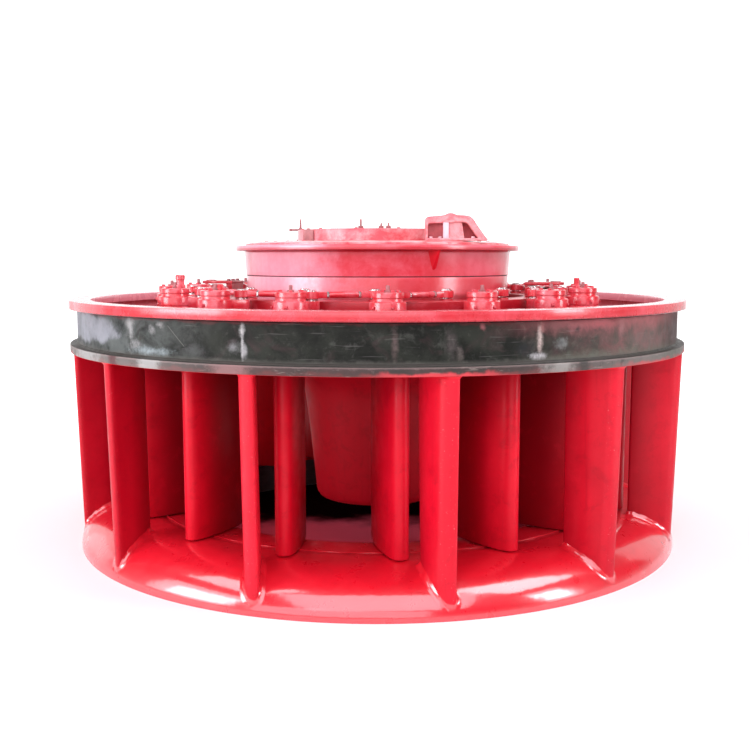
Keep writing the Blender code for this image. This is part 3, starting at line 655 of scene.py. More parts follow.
def prism(outline, z0, z1, bevel=0.002, mat=0, top_only=False):
    """Upright extrusion with softened edges, from an (x, y) outline."""
    n = len(outline)
    area = sum(outline[i][0] * outline[(i + 1) % n][1] - outline[(i + 1) % n][0] * outline[i][1]
               for i in range(n))
    pts = outline if area > 0 else list(reversed(outline))

    def inset(d):
        res = []
        for i in range(n):
            p = Vector(pts[i])
            a = (p - Vector(pts[i - 1])).normalized()
            c = (Vector(pts[(i + 1) % n]) - p).normalized()
            na, nc = Vector((-a.y, a.x)), Vector((-c.y, c.x))
            m = na + nc
            if m.length < 1e-6:
                m = na
            m.normalize()
            k = 1.0 / max(0.5, m.dot(na))
            res.append(p + m * d * k)
        return res

    levels = []
    if bevel > 0:
        if not top_only:
            levels += [(z0, bevel), (z0 + bevel * 0.3, bevel * 0.3), (z0 + bevel, 0.0)]
        else:
            levels += [(z0, 0.0)]
        levels += [(z1 - bevel, 0.0), (z1 - bevel * 0.3, bevel * 0.3), (z1, bevel)]
    else:
        levels = [(z0, 0.0), (z1, 0.0)]
    b = Build()
    for z, d in levels:
        for p in (inset(d) if d > 0 else [Vector(q) for q in pts]):
            b.v.append(Vector((p.x, p.y, z)))
    for l in range(len(levels) - 1):
        for i in range(n):
            j = (i + 1) % n
            b.f.append([l * n + i, l * n + j, (l + 1) * n + j, (l + 1) * n + i])
            b.m.append(mat)
    b.f.append(list(reversed(range(n))))
    b.m.append(mat)
    top = (len(levels) - 1) * n
    b.f.append([top + i for i in range(n)])
    b.m.append(mat)
    return b


def ring_prism(outer, inner, z0, z1, bevel=0.0015, mat=0):
    """Plate with one round hole; outer and inner have equally many points."""
    n = len(outer)
    b = Build()
    prof = [("o", z0, 0.0), ("o", z0 + bevel, bevel), ("o", z1 - bevel, bevel), ("o", z1, 0.0)]
    co = Vector((sum(p[0] for p in outer) / n, sum(p[1] for p in outer) / n))
    ci = Vector((sum(p[0] for p in inner) / n, sum(p[1] for p in inner) / n))

    def grown(pts, c, d):
        return [Vector(p) + (Vector(p) - c).normalized() * d for p in pts]

    loops = [
        [(p.x, p.y, z0) for p in grown(outer, co, -bevel)],
        [(p[0], p[1], z0 + bevel) for p in outer],
        [(p[0], p[1], z1 - bevel) for p in outer],
        [(p.x, p.y, z1) for p in grown(outer, co, -bevel)],
        [(p.x, p.y, z1) for p in grown(inner, ci, bevel)],
        [(p[0], p[1], z1 - bevel) for p in inner],
        [(p[0], p[1], z0 + bevel) for p in inner],
        [(p.x, p.y, z0) for p in grown(inner, ci, bevel)]]
    for loop in loops:
        for p in loop:
            b.v.append(Vector(p))
    m = len(loops)
    for l in range(m):
        k = (l + 1) % m
        for i in range(n):
            j = (i + 1) % n
            b.f.append([l * n + i, l * n + j, k * n + j, k * n + i])
            b.m.append(mat)
    return b


def circle(r, n, cx=0.0, cy=0.0, turn=0.0):
    return [(cx + r * math.cos(turn + 2 * math.pi * i / n),
             cy + r * math.sin(turn + 2 * math.pi * i / n)) for i in range(n)]


def lathe(profile, steps=24, mat=0):
    """Solid of revolution about Z from an open (r, z) outline, r=0 at both
    ends closed by fans; outline runs bottom to top."""
    b = Build()
    inner = [p for p in profile if p[0] > 1e-6]
    n = len(inner)
    for i in range(steps):
        a = 2 * math.pi * i / steps
        for r, z in inner:
            b.v.append(Vector((r * math.cos(a), r * math.sin(a), z)))
    for i in range(steps):
        j = (i + 1) % steps
        for k in range(n - 1):
            b.f.append([i * n + k, j * n + k, j * n + k + 1, i * n + k + 1])
            b.m.append(mat)
    b.f.append([i * n for i in reversed(range(steps))])
    b.m.append(mat)
    b.f.append([i * n + n - 1 for i in range(steps)])
    b.m.append(mat)
    return b


def bolt(af=0.024, head=0.012, washer=0.019, wt=0.003, mat=0):
    """Hexagon head on a washer; its base lies at z = 0."""
    b = Build()
    b.extend(lathe([(washer - 0.001, 0.0), (washer, 0.0008), (washer, wt - 0.0008),
                    (washer - 0.0015, wt)], 16), mat=mat)
    r = af / math.sqrt(3.0)
    hexa = circle(r, 6)
    top = circle(r * 0.90, 6)
    base = len(b.v)
    for p in hexa:
        b.v.append(Vector((p[0], p[1], wt)))
    for p in hexa:
        b.v.append(Vector((p[0], p[1], wt + head * 0.82)))
    for p in top:
        b.v.append(Vector((p[0], p[1], wt + head)))
    for l in range(2):
        for i in range(6):
            j = (i + 1) % 6
            b.f.append([base + l * 6 + i, base + l * 6 + j, base + (l + 1) * 6 + j, base + (l + 1) * 6 + i])
            b.m.append(mat)
    b.f.append([base + i for i in reversed(range(6))])
    b.f.append([base + 12 + i for i in range(6)])
    b.m += [mat, mat]
    return b


def at(p, turn=0.0, tilt=None):
    m = Matrix.Translation(Vector(p)) @ Matrix.Rotation(turn, 4, 'Z')
    return m @ tilt if tilt is not None else m


def bolt_circle(r, z, count, start=0.0, skip=(), **kw):
    b = Build()
    one = bolt(**kw)
    for i in range(count):
        t = start + 360.0 / count * i
        if any(abs((t - s + 180) % 360 - 180) < w for s, w in skip):
            continue
        b.extend(one, at(polar(r, t, z), random.uniform(0, math.pi)))
    return b


def weld_ring(r, z, size, steps=480, out=1.0, up=-1.0, seed=0.0):
    """Fillet bead round a corner at (r, z); out and up point to the open
    side of the corner."""
    prof = [(0.0, 0.0), (size, 0.0), (size * 0.72, size * 0.40), (size * 0.40, size * 0.72),
            (0.0, size)]
    b = Build()
    n = len(prof)
    for i in range(steps):
        a = 2 * math.pi * i / steps
        k = 1.0 + 0.10 * math.sin(a * steps / 2.6) + 0.16 * noise.noise(
            Vector((math.cos(a) * 14, math.sin(a) * 14, seed)))
        for u, w in prof:
            rr, zz = r + out * u * k, z + up * w * k
            b.v.append(Vector((rr * math.sin(a), -rr * math.cos(a), zz)))
    for i in range(steps):
        j = (i + 1) % steps
        for k in range(n):
            l = (k + 1) % n
            b.f.append([i * n + k, j * n + k, j * n + l, i * n + l])
            b.m.append(0)
    return b


def bead(points, normals_a, normals_b, size, seed=0.0, hollow=False):
    """Fillet bead along a closed path: a and b are the two surfaces' outward
    directions at each point."""
    b = Build()
    n = len(points)
    prof = ((0.0, 0.0), (1.0, 0.0), (0.70, 0.30), (0.45, 0.50), (0.28, 0.74), (0.0, 1.0))
    if hollow:
        prof = ((0.0, 0.0), (1.0, 0.0), (0.74, 0.085), (0.50, 0.20), (0.31, 0.37),
                (0.15, 0.62), (0.05, 0.88), (0.0, 1.0))
    m = len(prof)
    for i, p in enumerate(points):
        k = size * (1.0 + 0.22 * noise.noise(Vector((p.x * 34, p.y * 34, seed + p.z * 34))) +
                    0.10 * noise.noise(Vector((p.x * 120, p.y * 120, seed + p.z * 120))))
        for u, w in prof:
            b.v.append(p + normals_a[i] * (u * k) + normals_b[i] * (w * k))
    for i in range(n):
        j = (i + 1) % n
        for k in range(m):
            l = (k + 1) % m
            b.f.append([i * m + k, j * m + k, j * m + l, i * m + l])
            b.m.append(0)
    return b


def box_build(x0, x1, y0, y1, z0, z1, bevel=0.002, mat=0):
    return prism([(x0, y0), (x1, y0), (x1, y1), (x0, y1)], z0, z1, bevel, mat)


def place(obj, body, *nodes, slot=None):
    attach(obj, body)
    if nodes:
        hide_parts(*nodes)
    return obj


# ------------------------------------------------------------------ fixed rings
ring = turned(rounded([
    (1.500, Z_TOP), (1.500, Z_FLANGE), (1.462, Z_FLANGE), (1.462, Z_BAND + 0.0003),
    (1.432, Z_BAND + 0.0003), (1.432, Z_FLANGE), (1.400, Z_FLANGE), (1.400, Z_TOP)],
    [0.0045, 0.003, 0.0, 0.0, 0.0, 0.0, 0.003, 0.004]))
# the upright band's outer face carries its own finish
for i, f in enumerate(ring.f):
    pts = [ring.v[k] for k in f]
    r = sum(math.hypot(p.x, p.y) for p in pts) / 4
    z = sum(p.z for p in pts) / 4
    if z < Z_FLANGE - 0.001 and r > 1.455:
        ring.m[i] = 1
place(ring.object("upper_ring_fine", [MAT_RING, MAT_BAND], 28), ROOT, "upper_stay_ring",
      slot="red_paint")

lip = turned(rounded([(1.497, Z_BAND), (1.497, Z_LIP), (1.340, Z_LIP), (1.340, Z_BAND)],
                     [0.005, 0.004, 0.002, 0.002]))
place(lip.object("lip_fine", [MAT_LIP], 28), ROOT, "stay_ring_lip", slot="bare_metal")

place(weld_ring(1.462, Z_FLANGE, 0.007, seed=1.0).object("weld_flange", [MAT_BAND], 60), ROOT,
      slot="bare_metal")
place(weld_ring(1.462, Z_BAND, 0.008, up=1.0, seed=2.0).object("weld_lip", [MAT_LIP], 60), ROOT,
      slot="bare_metal")

# upright joints of the band's plates
joints = Build()
for t in (-42.55, -20.05, 24.75, 95.0, 150.0, -118.0):
    n = 60
    prof = ((-0.0075, 0.0), (-0.0045, 0.0022), (0.0, 0.0032), (0.0045, 0.0022), (0.0075, 0.0))
    vs, fs = [], []
    for i in range(n + 1):
        z = Z_BAND + 0.008 + (Z_FLANGE - Z_BAND - 0.014) * i / n
        k = 1.0 + 0.18 * math.sin(i * 2.3) + 0.2 * noise.noise(Vector((t, i * 0.7, 3.0)))
        for u, w in prof:
            tt = t + math.degrees(u * k / 1.462)
            vs.append(polar(1.4612 + w * k * 0.8, tt, z))
    m = len(prof)
    for i in range(n):
        for k in range(m - 1):
            fs.append([i * m + k, i * m + k + 1, (i + 1) * m + k + 1, (i + 1) * m + k])
        fs.append([i * m + m - 1, i * m, (i + 1) * m, (i + 1) * m + m - 1])
    fs.append([k for k in range(m)])
    fs.append([n * m + k for k in reversed(range(m))])
    joints.add(vs, fs)
place(joints.object("weld_upright", [MAT_BAND], 60), ROOT, slot="bare_metal")

roll = [(R_ROLL + (R_FOOT - R_ROLL) * math.cos(math.radians(a)), Z_FLAT * math.sin(math.radians(a)))
        for a in range(90, -1, -5)]
lower = turned([(R_LOWER_IN + 0.003, Z_FLAT), (1.160, Z_FLAT)] + roll +
               [(R_FOOT - 0.004, 0.0), (R_LOWER_IN, 0.0), (R_LOWER_IN, Z_FLAT - 0.003)], FINE)
place(lower.object("lower_ring_fine", [MAT_ROLL], 50), ROOT, "lower_stay_ring", slot="red_paint")

r1 = R_LOWER_IN - 0.0012
bottom = turned(rounded([(r1, Z_FLAT - 0.001), (r1, 0.0), (R_THROAT, 0.0), (R_THROAT, Z_FLAT - 0.001)],
                        [0.004, 0.002, 0.003, 0.010], 4))
# the throat's bore is given the dark grey primer, which also stands as painted shade in the throat
for i, f in enumerate(bottom.f):
    pts = [bottom.v[k] for k in f]
    r = sum(math.hypot(p.x, p.y) for p in pts) / 4
    z = sum(p.z for p in pts) / 4
    if r < R_THROAT + 0.004 and z < Z_FLAT - 0.012:
        bottom.m[i] = 1
place(bottom.object("bottom_ring_fine", [MAT_ROLL, MAT_GUIDE], 40), ROOT, "bottom_ring",
      slot="red_paint")

seam_w = []
for i in range(7):
    a = math.pi * i / 6
    seam_w.append((1.1096 + 0.0058 * math.cos(a), Z_FLAT - 0.0004 + 0.0024 * math.sin(a)))
place(turned(seam_w, 256, wave=lambda a, k, r, z: (
    r + 0.0010 * math.sin(a * 71.0), z + (0.0003 * math.sin(a * 210.0) if 0 < k < 6 else 0.0)
)).object("weld_seam", [MAT_ROLL], 60), ROOT, slot="red_paint")

# ------------------------------------------------------------------ stay vanes
SIDE_FULL = [(-0.0320, -0.0105), (-0.0335, -0.0030), (-0.0220, 0.0200), (-0.0060, 0.0400),
             (0.0040, 0.0445), (0.0200, 0.0440), (0.0700, 0.0370), (0.1250, 0.0210),
             (0.1780, -0.0015), (0.1815, -0.0075)]
SIDE_FLAT = [(-0.0320, -0.0105), (-0.0220, -0.0165), (0.0300, -0.0205), (0.1000, -0.0235),
             (0.1780, -0.0150), (0.1815, -0.0075)]


def curve(points, count, per=8, dense=-0.10):
    """Smooth curve through the points; dense < 0 sets the steps closer at
    the ends, dense > 0 in the middle."""
    fine = []
    m = len(points)
    for i in range(m - 1):
        p0, p1 = Vector(points[max(i - 1, 0)]), Vector(points[i])
        p2, p3 = Vector(points[i + 1]), Vector(points[min(i + 2, m - 1)])
        t1 = (p2 - p0) * (p2 - p1).length / max(1e-6, (p2 - p0).length)
        t2 = (p3 - p1) * (p2 - p1).length / max(1e-6, (p3 - p1).length)
        for k in range(per):
            t = k / per
            fine.append(p1 * (2 * t ** 3 - 3 * t * t + 1) + t1 * (t ** 3 - 2 * t * t + t) +
                        p2 * (3 * t * t - 2 * t ** 3) + t2 * (t ** 3 - t * t))
    fine.append(Vector(points[-1]))
    steps = [0.0]
    for i in range(len(fine) - 1):
        steps.append(steps[-1] + (fine[i + 1] - fine[i]).length)
    out, j = [], 0
    for i in range(count + 1):
        s = steps[-1] * (i / count + dense * math.sin(2 * math.pi * i / count))
        while j < len(steps) - 2 and steps[j + 1] < s:
            j += 1
        f = (s - steps[j]) / max(1e-9, steps[j + 1] - steps[j])
        out.append(fine[j].lerp(fine[j + 1], min(1.0, max(0.0, f))))
    return out


def stay_outline(t, grow, count=34):
    """World outline of a fixed vane; grow moves the nose outwards."""
    a = math.radians(STAY_LEAN)
    foot = polar(R_STAY, t)
    inward = -foot.normalized()
    nose = foot - inward * grow
    side = Vector((0, 0, 1)).cross(inward)
    d = inward * math.cos(a) + side * math.sin(a)
    n = Vector((0, 0, 1)).cross(d)
    full = [(u + (grow if u > 0.05 else 0.0), v) for u, v in SIDE_FULL]
    flat = [(u + (grow if u > 0.05 else 0.0), v) for u, v in SIDE_FLAT]
    one, two = curve(full, count), curve(flat, count)
    pts = one + list(reversed(two[1:-1]))
    # the welder's rounding of the nose
    m = len(pts)
    for _ in range(8):
        pts = [p if p.x > 0.045 else (pts[i - 1] + p * 2.0 + pts[(i + 1) % m]) * 0.25
               for i, p in enumerate(pts)]
    return [nose + d * p.x + n * p.y for p in pts]


for k in range(N_STAY):
    t = T_STAY + 360.0 / N_STAY * k
    levels = []
    b = Build()
    stations = (0.0, 0.03, 0.12, 0.3, 0.5, 0.7, 0.85, 0.97, 1.0)
    for s in stations:
        grow = (R_STAY_TOP - R_STAY) * s
        ring_pts = []
        for p in stay_outline(t, grow):
            zf = roll_z(math.hypot(p.x, p.y)) + 0.0008
            ring_pts.append(Vector((p.x, p.y, zf + (Z_LIP - 0.0003 - zf) * s)))
        levels.append(ring_pts)
    n = len(levels[0])
    for ring_pts in levels:
        b.v += ring_pts
    for l in range(len(levels) - 1):
        for i in range(n):
            j = (i + 1) % n
            b.f.append([l * n + i, l * n + j, (l + 1) * n + j, (l + 1) * n + i])
            b.m.append(0)
    # strips across the foot and the head keep both ends closed and smooth
    half = n // 2
    for base in (0, (len(levels) - 1) * n):
        b.f.append([base, base + 1, base + n - 1])
        b.m.append(0)
        for i in range(1, half):
            if n - i - 1 == i + 1:
                b.f.append([base + i, base + i + 1, base + n - i])
            else:
                b.f.append([base + i, base + i + 1, base + n - i - 1, base + n - i])
            b.m.append(0)
    obj = b.object("stay_vane_fine_%02d" % (k + 1), [MAT_STAY], 40)
    place(obj, ROOT, "stay_vane_%02d" % (k + 1), slot="vane_paint")

welds, feet = Build(), Build()
for k in range(N_STAY):
    t = T_STAY + 360.0 / N_STAY * k
    for top in (False, True):
        pts = stay_outline(t, (R_STAY_TOP - R_STAY) if top else 0.0)
        c = sum(pts, Vector()) / len(pts)
        m = len(pts)
        P_, A_, B_ = [], [], []
        for i in range(m):
            p = pts[i]
            tan = (pts[(i + 1) % m] - pts[i - 1]).normalized()
            out = Vector((-tan.y, tan.x, 0.0))
            if out.dot(p - c) < 0:
                out = -out
            r = math.hypot(p.x, p.y)
            if top:
                q = Vector((p.x, p.y, Z_LIP - 0.0002))
                room = max(0.0, 1.494 - r)
                e = p.normalized().dot(out)
                lim = 1.0 if e <= 0 else min(1.0, room / 0.010)
                P_.append(q)
                A_.append(out * lim)
                B_.append(Vector((0, 0, -1)))
            else:
                z = roll_z(r)
                q = Vector((p.x, p.y, z))
                slope = (roll_z(r + 0.003) - roll_z(max(0.0, r - 0.003))) / 0.006
                rad = Vector((p.x, p.y, 0)).normalized()
                radial = out.dot(rad)
                along = out + Vector((0, 0, slope * radial))
                if r + 0.014 * radial > R_FOOT - 0.003:
                    along = along * 0.25
                A_.append(along.normalized() * min(1.0, along.length))
                B_.append(Vector((0, 0, 1)))
                P_.append(q)
        (welds if top else feet).extend(
            bead(P_, A_, B_, 0.009 if top else 0.021, seed=k + 20.0 * top, hollow=not top))
place(welds.object("vane_welds", [MAT_VANE], 60), ROOT, slot="vane_paint")
place(feet.object("vane_foot_welds", [MAT_ROLL], 60), ROOT, slot="red_paint")

# ------------------------------------------------------------------ head cover
cover = turned(rounded([
    (1.425, Z_COVER), (1.425, Z_BAND + 0.0003), (1.3385, Z_BAND + 0.0003), (1.3385, Z_LIP),
    (0.6442, Z_LIP), (0.6442, Z_COVER)], [0.004, 0.0, 0.0, 0.002, 0.002, 0.002]))
sleeve = turned(rounded([(0.085, 1.105), (0.085, Z_COVER - 0.001), (0.048, Z_COVER - 0.001),
                         (0.048, 1.105)], [0.004, 0.0, 0.0, 0.002]), 32)
toe = weld_ring(0.085, Z_COVER, 0.008, 64, up=1.0, seed=5.0)
rib = prism([(0.905, -0.007), (1.150, -0.007), (1.150, 0.007), (0.905, 0.007)],
            Z_COVER - 0.001, 1.090, 0.0015)
outer_rib = prism([(1.165, -0.006), (1.372, -0.006), (1.372, 0.006), (1.165, 0.006)],
                  Z_COVER - 0.001, 1.060, 0.0015)
for k in range(N_GATE):
    t = T_GATE + 360.0 / N_GATE * k
    c = polar(R_GATE, t)
    cover.extend(sleeve, at(c))
    cover.extend(toe, at(c))
    mid = t + 180.0 / N_GATE
    cover.extend(rib, Matrix.Rotation(math.radians(mid - 90.0), 4, 'Z'))
    cover.extend(outer_rib, Matrix.Rotation(math.radians(mid - 90.0), 4, 'Z'))
place(cover.object("head_cover_fine", [MAT_COVER_SHADED], 32), ROOT, "head_cover", slot="red_paint")
place(bolt_circle(1.398, Z_COVER, 48, 3.75, af=0.030, head=0.018, washer=0.024,
                  wt=0.004).object("cover_bolts", [MAT_BOLT], 30), ROOT, slot="steel")

guide = turned(rounded([
    (0.800, 1.125), (0.800, 1.100), (0.775, 1.100), (0.775, Z_COVER + 0.0003),
    (0.745, Z_COVER + 0.0003), (0.745, 1.125)], [0.002, 0.002, 0.006, 0.0, 0.0, 0.002]))
place(guide.object("ring_guide_fine", [MAT_GUIDE], 32), ROOT, "ring_guide", slot="bare_metal")

# ------------------------------------------------------------------ inner cone
CONE = [(0.6400, 0.9310), (0.5200, 0.8950), (0.4350, 0.8150), (0.3760, 0.7160),
        (0.3500, 0.5500), (0.3290, 0.3600), (0.3130, 0.2050)]


def spline(points, per=6):
    out = []
    n = len(points)
    for i in range(n - 1):
        p0 = Vector(points[max(i - 1, 0)])
        p1, p2 = Vector(points[i]), Vector(points[i + 1])
        p3 = Vector(points[min(i + 2, n - 1)])
        for k in range(per):
            t = k / per
            q = 0.5 * ((2 * p1) + (p2 - p0) * t + (2 * p0 - 5 * p1 + 4 * p2 - p3) * t * t +
                       (3 * p1 - p0 - 3 * p2 + p3) * t ** 3)
            out.append(tuple(q))
    out.append(points[-1])
    return out


outer = spline(CONE, 6)
end = [(0.3118, 0.190), (0.3075, 0.176), (0.3000, 0.164), (0.2900, 0.1565), (0.2780, 0.1550)]
inner = [(0.190, 0.155), (0.190, 0.183), (0.285, 0.183)] + \
        [(r - 0.028 if r < 0.40 else r - 0.016, z + (0.0 if z < 0.7 else 0.022)) for r, z in
         reversed(spline(CONE[1:6], 4))] + [(0.612, 0.959), (0.612, Z_COVER)]
cone = turned([(0.640, Z_COVER), (0.640, 0.9330)] + outer[1:] + end + inner, 128)
place(cone.object("inner_cone_fine", [MAT_CONE], 40), ROOT, "inner_cone", slot="red_paint")

# ------------------------------------------------------------------ drum
low = turned(rounded([
    (R_DRUM - 0.001, Z_SEAM - 0.0028), (R_DRUM - 0.008, Z_COVER + 0.035),
    (0.706, Z_COVER + 0.035), (0.706, Z_COVER + 0.0003), (0.626, Z_COVER + 0.0003),
    (0.626, Z_SEAM - 0.001)], [0.002, 0.010, 0.003, 0.0, 0.0, 0.0]))
place(low.object("drum_lower_fine", [MAT_DRUM], 32), ROOT, "drum_lower", slot="red_paint")
up = turned(rounded([
    (R_DRUM_FLANGE, Z_DRUM_TOP), (R_DRUM_FLANGE, Z_DRUM_FLANGE),
    (R_DRUM + 0.008, Z_DRUM_FLANGE), (R_DRUM + 0.001, Z_SEAM + 0.0010),
    (0.626, Z_SEAM), (0.626, Z_DRUM_TOP)],
    [0.0075, 0.0045, 0.012, 0.002, 0.0, 0.002], 4))
place(up.object("drum_upper_fine", [MAT_DRUM], 32), ROOT, "drum_upper", slot="red_paint")
seam = turned([(0.6535, Z_SEAM + 0.002), (0.6535, Z_SEAM - 0.004), (0.640, Z_SEAM - 0.004),
               (0.640, Z_SEAM + 0.002)], FINE)
place(seam.object("drum_seam", [MAT_DARK], 32), ROOT, slot="bare_metal")
place(bolt_circle(0.688, Z_COVER + 0.035, 32, 5.0, af=0.022, head=0.012, washer=0.017,
                  wt=0.003).object("drum_bolts", [MAT_BOLT], 30), ROOT, slot="steel")
gusset = Build()
for t in (22.0, 112.0, 202.0):
    r0, zt, zl = R_DRUM + 0.004, Z_DRUM_FLANGE + 0.0010, Z_DRUM_FLANGE - 0.092
    pts = [(-0.034, r0 - 0.003, zt), (0.026, r0 - 0.003, zt), (0.019, r0 + 0.040, zt),
           (0.009, r0 + 0.040, zt), (-0.003, r0 - 0.004, zl), (0.003, r0 - 0.004, zl),
           (0.014, r0 + 0.004, zl + 0.012)]
    vs = []
    for x, r, z in pts:
        q = polar(r, t)
        across = Vector((math.cos(math.radians(t)), math.sin(math.radians(t)), 0.0))
        vs.append(q + across * x + Vector((0, 0, z)))
    fs = [[0, 3, 2, 1], [0, 4, 3], [3, 4, 6], [2, 3, 6], [1, 2, 6], [1, 6, 5], [4, 5, 6],
          [0, 1, 5, 4]]
    gusset.add(vs, fs)
place(gusset.object("drum_gussets", [MAT_VANE], 20), ROOT, slot="red_paint")

top_cover = turned(rounded([
    (0.657, 1.4320), (0.657, 1.4223), (0.365, 1.4223), (0.365, 1.500), (0.400, 1.500),
    (0.400, 1.4400), (0.600, 1.4400)], [0.004, 0.0015, 0.002, 0.003, 0.004, 0.008, 0.02], 4), 160)
place(top_cover.object("bearing_cover_fine", [MAT_TOP], 32), ROOT, "bearing_cover",
      slot="red_paint")
screws = Build()
one = lathe([(0.0095, 1.4395), (0.0095, 1.4418), (0.0088, 1.4424), (0.0050, 1.4424), (0.0046, 1.4412)], 16)
for i in range(36):
    t = 5.0 + 10.0 * i
    if not 17.0 < t < 53.0:
        screws.extend(one, at(polar(0.585, t)))
place(screws.object("top_screws", [MAT_BOLT], 30), ROOT, slot="steel")
place(bolt_circle(0.382, 1.500, 12, 15.0, af=0.013, head=0.004, washer=0.0105,
                  wt=0.001).object("collar_bolts", [MAT_BOLT], 30), ROOT, slot="steel")
studs = Build()
for x, y, z, r in ((-0.077, -0.374, 1.543, 0.0045), (0.018, -0.381, 1.524, 0.0040),
                   (0.052, -0.378, 1.526, 0.0040)):
    studs.extend(lathe([(r + 0.007, 1.500), (r + 0.008, 1.502), (r + 0.008, 1.509), (r + 0.004, 1.511),
                        (r, 1.512), (r, z - 0.003), (r - 0.002, z)], 16), at((x, y, 0)))
place(studs.object("collar_studs", [MAT_STUD], 32), ROOT, slot="steel")

# ------------------------------------------------------------------ bracket, post
zb = 1.4403


def sweep_plate(outer, inner, y0, y1, c=0.003, mat=0):
    """Upright strip between two (x, z) lines with chamfered edges."""
    b = Build()
    n = len(outer)
    for o, i in zip(outer, inner):
        o, i = Vector(o), Vector(i)
        e = (o - i).normalized() * c
        for q, y in ((o, y0 + c), (o, y1 - c), (o - e, y1), (i + e, y1), (i, y1 - c), (i, y0 + c),
                     (i + e, y0), (o - e, y0)):
            b.v.append(Vector((q.x, y, q.y)))
    for k in range(n - 1):
        for j in range(8):
            l = (j + 1) % 8
            b.f.append([k * 8 + j, k * 8 + l, (k + 1) * 8 + l, (k + 1) * 8 + j])
            b.m.append(mat)
    b.f.append(list(range(8)))
    b.f.append([(n - 1) * 8 + j for j in reversed(range(8))])
    b.m += [mat, mat]
    return b


br = Build()
br.extend(box_build(0.218, 0.504, -0.475, -0.425, zb, zb + 0.012, 0.003))
arch_out = [(0.2185, zb + 0.006), (0.2185, 1.500), (0.2185, 1.535), (0.2215, 1.5435), (0.2300, 1.5490),
            (0.2620, 1.5525), (0.2960, 1.5550), (0.3110, 1.5590), (0.3240, 1.5650), (0.3340, 1.5660),
            (0.3450, 1.5650), (0.3560, 1.5600), (0.3660, 1.5565), (0.4000, 1.5550), (0.4180, 1.5525),
            (0.4300, 1.5470), (0.4390, 1.5380), (0.4560, 1.5120), (0.4800, 1.4780), (0.5035, zb + 0.006)]
arch_in = [(0.2310, zb + 0.006), (0.2310, 1.490), (0.2315, 1.510), (0.2340, 1.5160), (0.2400, 1.5185),
           (0.2650, 1.5195), (0.2950, 1.5205), (0.3110, 1.5210), (0.3240, 1.5215), (0.3340, 1.5220),
           (0.3450, 1.5230), (0.3560, 1.5240), (0.3660, 1.5245), (0.3900, 1.5240), (0.4020, 1.5220),
           (0.4110, 1.5180), (0.4180, 1.5110), (0.4300, 1.4930), (0.4470, 1.4700), (0.4640, zb + 0.006)]
br.extend(sweep_plate(arch_out, arch_in, -0.4745, -0.4260))
br.extend(box_build(0.3010, 0.3265, -0.4735, -0.4280, zb + 0.010, 1.5350, 0.003), mat=3)
# the plate behind the arch carries the dark red recess colour: painted shade in its openings
br.extend(sweep_plate([(0.2250, 1.5350), (0.4080, 1.5350), (0.4200, 1.5250), (0.4700, zb + 0.010)],
                      [(0.2250, zb + 0.010), (0.3800, zb + 0.010), (0.4000, zb + 0.010),
                       (0.4300, zb + 0.010)], -0.4370, -0.4300, 0.001, mat=1))
br.extend(sweep_plate([(0.3290, 1.5340), (0.3850, 1.5340)],
                      [(0.3290, zb + 0.010), (0.3990, zb + 0.010)], -0.4620, -0.4340, 0.002, mat=0))
# a pinkish-brown sheet fills the left opening: painted light and shade for what is seen through it
br.extend(box_build(0.2260, 0.3030, -0.4480, -0.4390, zb + 0.010, 1.5220, 0.001), mat=4)
for x in (0.245, 0.288, 0.440):
    br.extend(bolt(0.014, 0.006, 0.010, 0.002), at((x, -0.4550, zb + 0.012)), mat=2)
place(br.object("service_bracket_fine", [MAT_ARCH, MAT_SHADE, MAT_PALE, MAT_PALE, MAT_WINDOW_FILL], 32), ROOT,
      "service_bracket", slot="red_paint")

post = Build()
post.extend(lathe([(0.024, zb), (0.0255, zb + 0.002), (0.0255, zb + 0.010), (0.021, zb + 0.016),
                   (0.013, zb + 0.022), (0.0085, zb + 0.026), (0.0080, 1.500), (0.0100, 1.5005),
                   (0.0100, 1.5165), (0.0055, 1.5180), (0.0042, 1.560), (0.0030, 1.564)], 20),
            at((-0.400, 0.180, 0.0)))
arm = lathe([(0.0040, 0.0), (0.0050, 0.001), (0.0050, 0.046), (0.0062, 0.047), (0.0062, 0.057),
             (0.0050, 0.059)], 14)
post.extend(arm, Matrix.Translation((-0.400, 0.180, 1.508)) @ Matrix.Rotation(math.radians(-90), 4, 'Y'))
place(post.object("vent_post_fine", [MAT_STUD], 32), ROOT, "vent_post", slot="red_paint")

plug = Build()
plug.extend(box_build(-0.354, -0.306, -0.270, -0.230, 1.4401, 1.498, 0.005))
plug.extend(lathe([(0.008, 0.0), (0.008, 0.004), (0.006, 0.006)], 16), at((-0.330, -0.250, 1.498)))
place(plug.object("terminal_block", [MAT_BLOCK], 32), ROOT, slot="bare_metal")

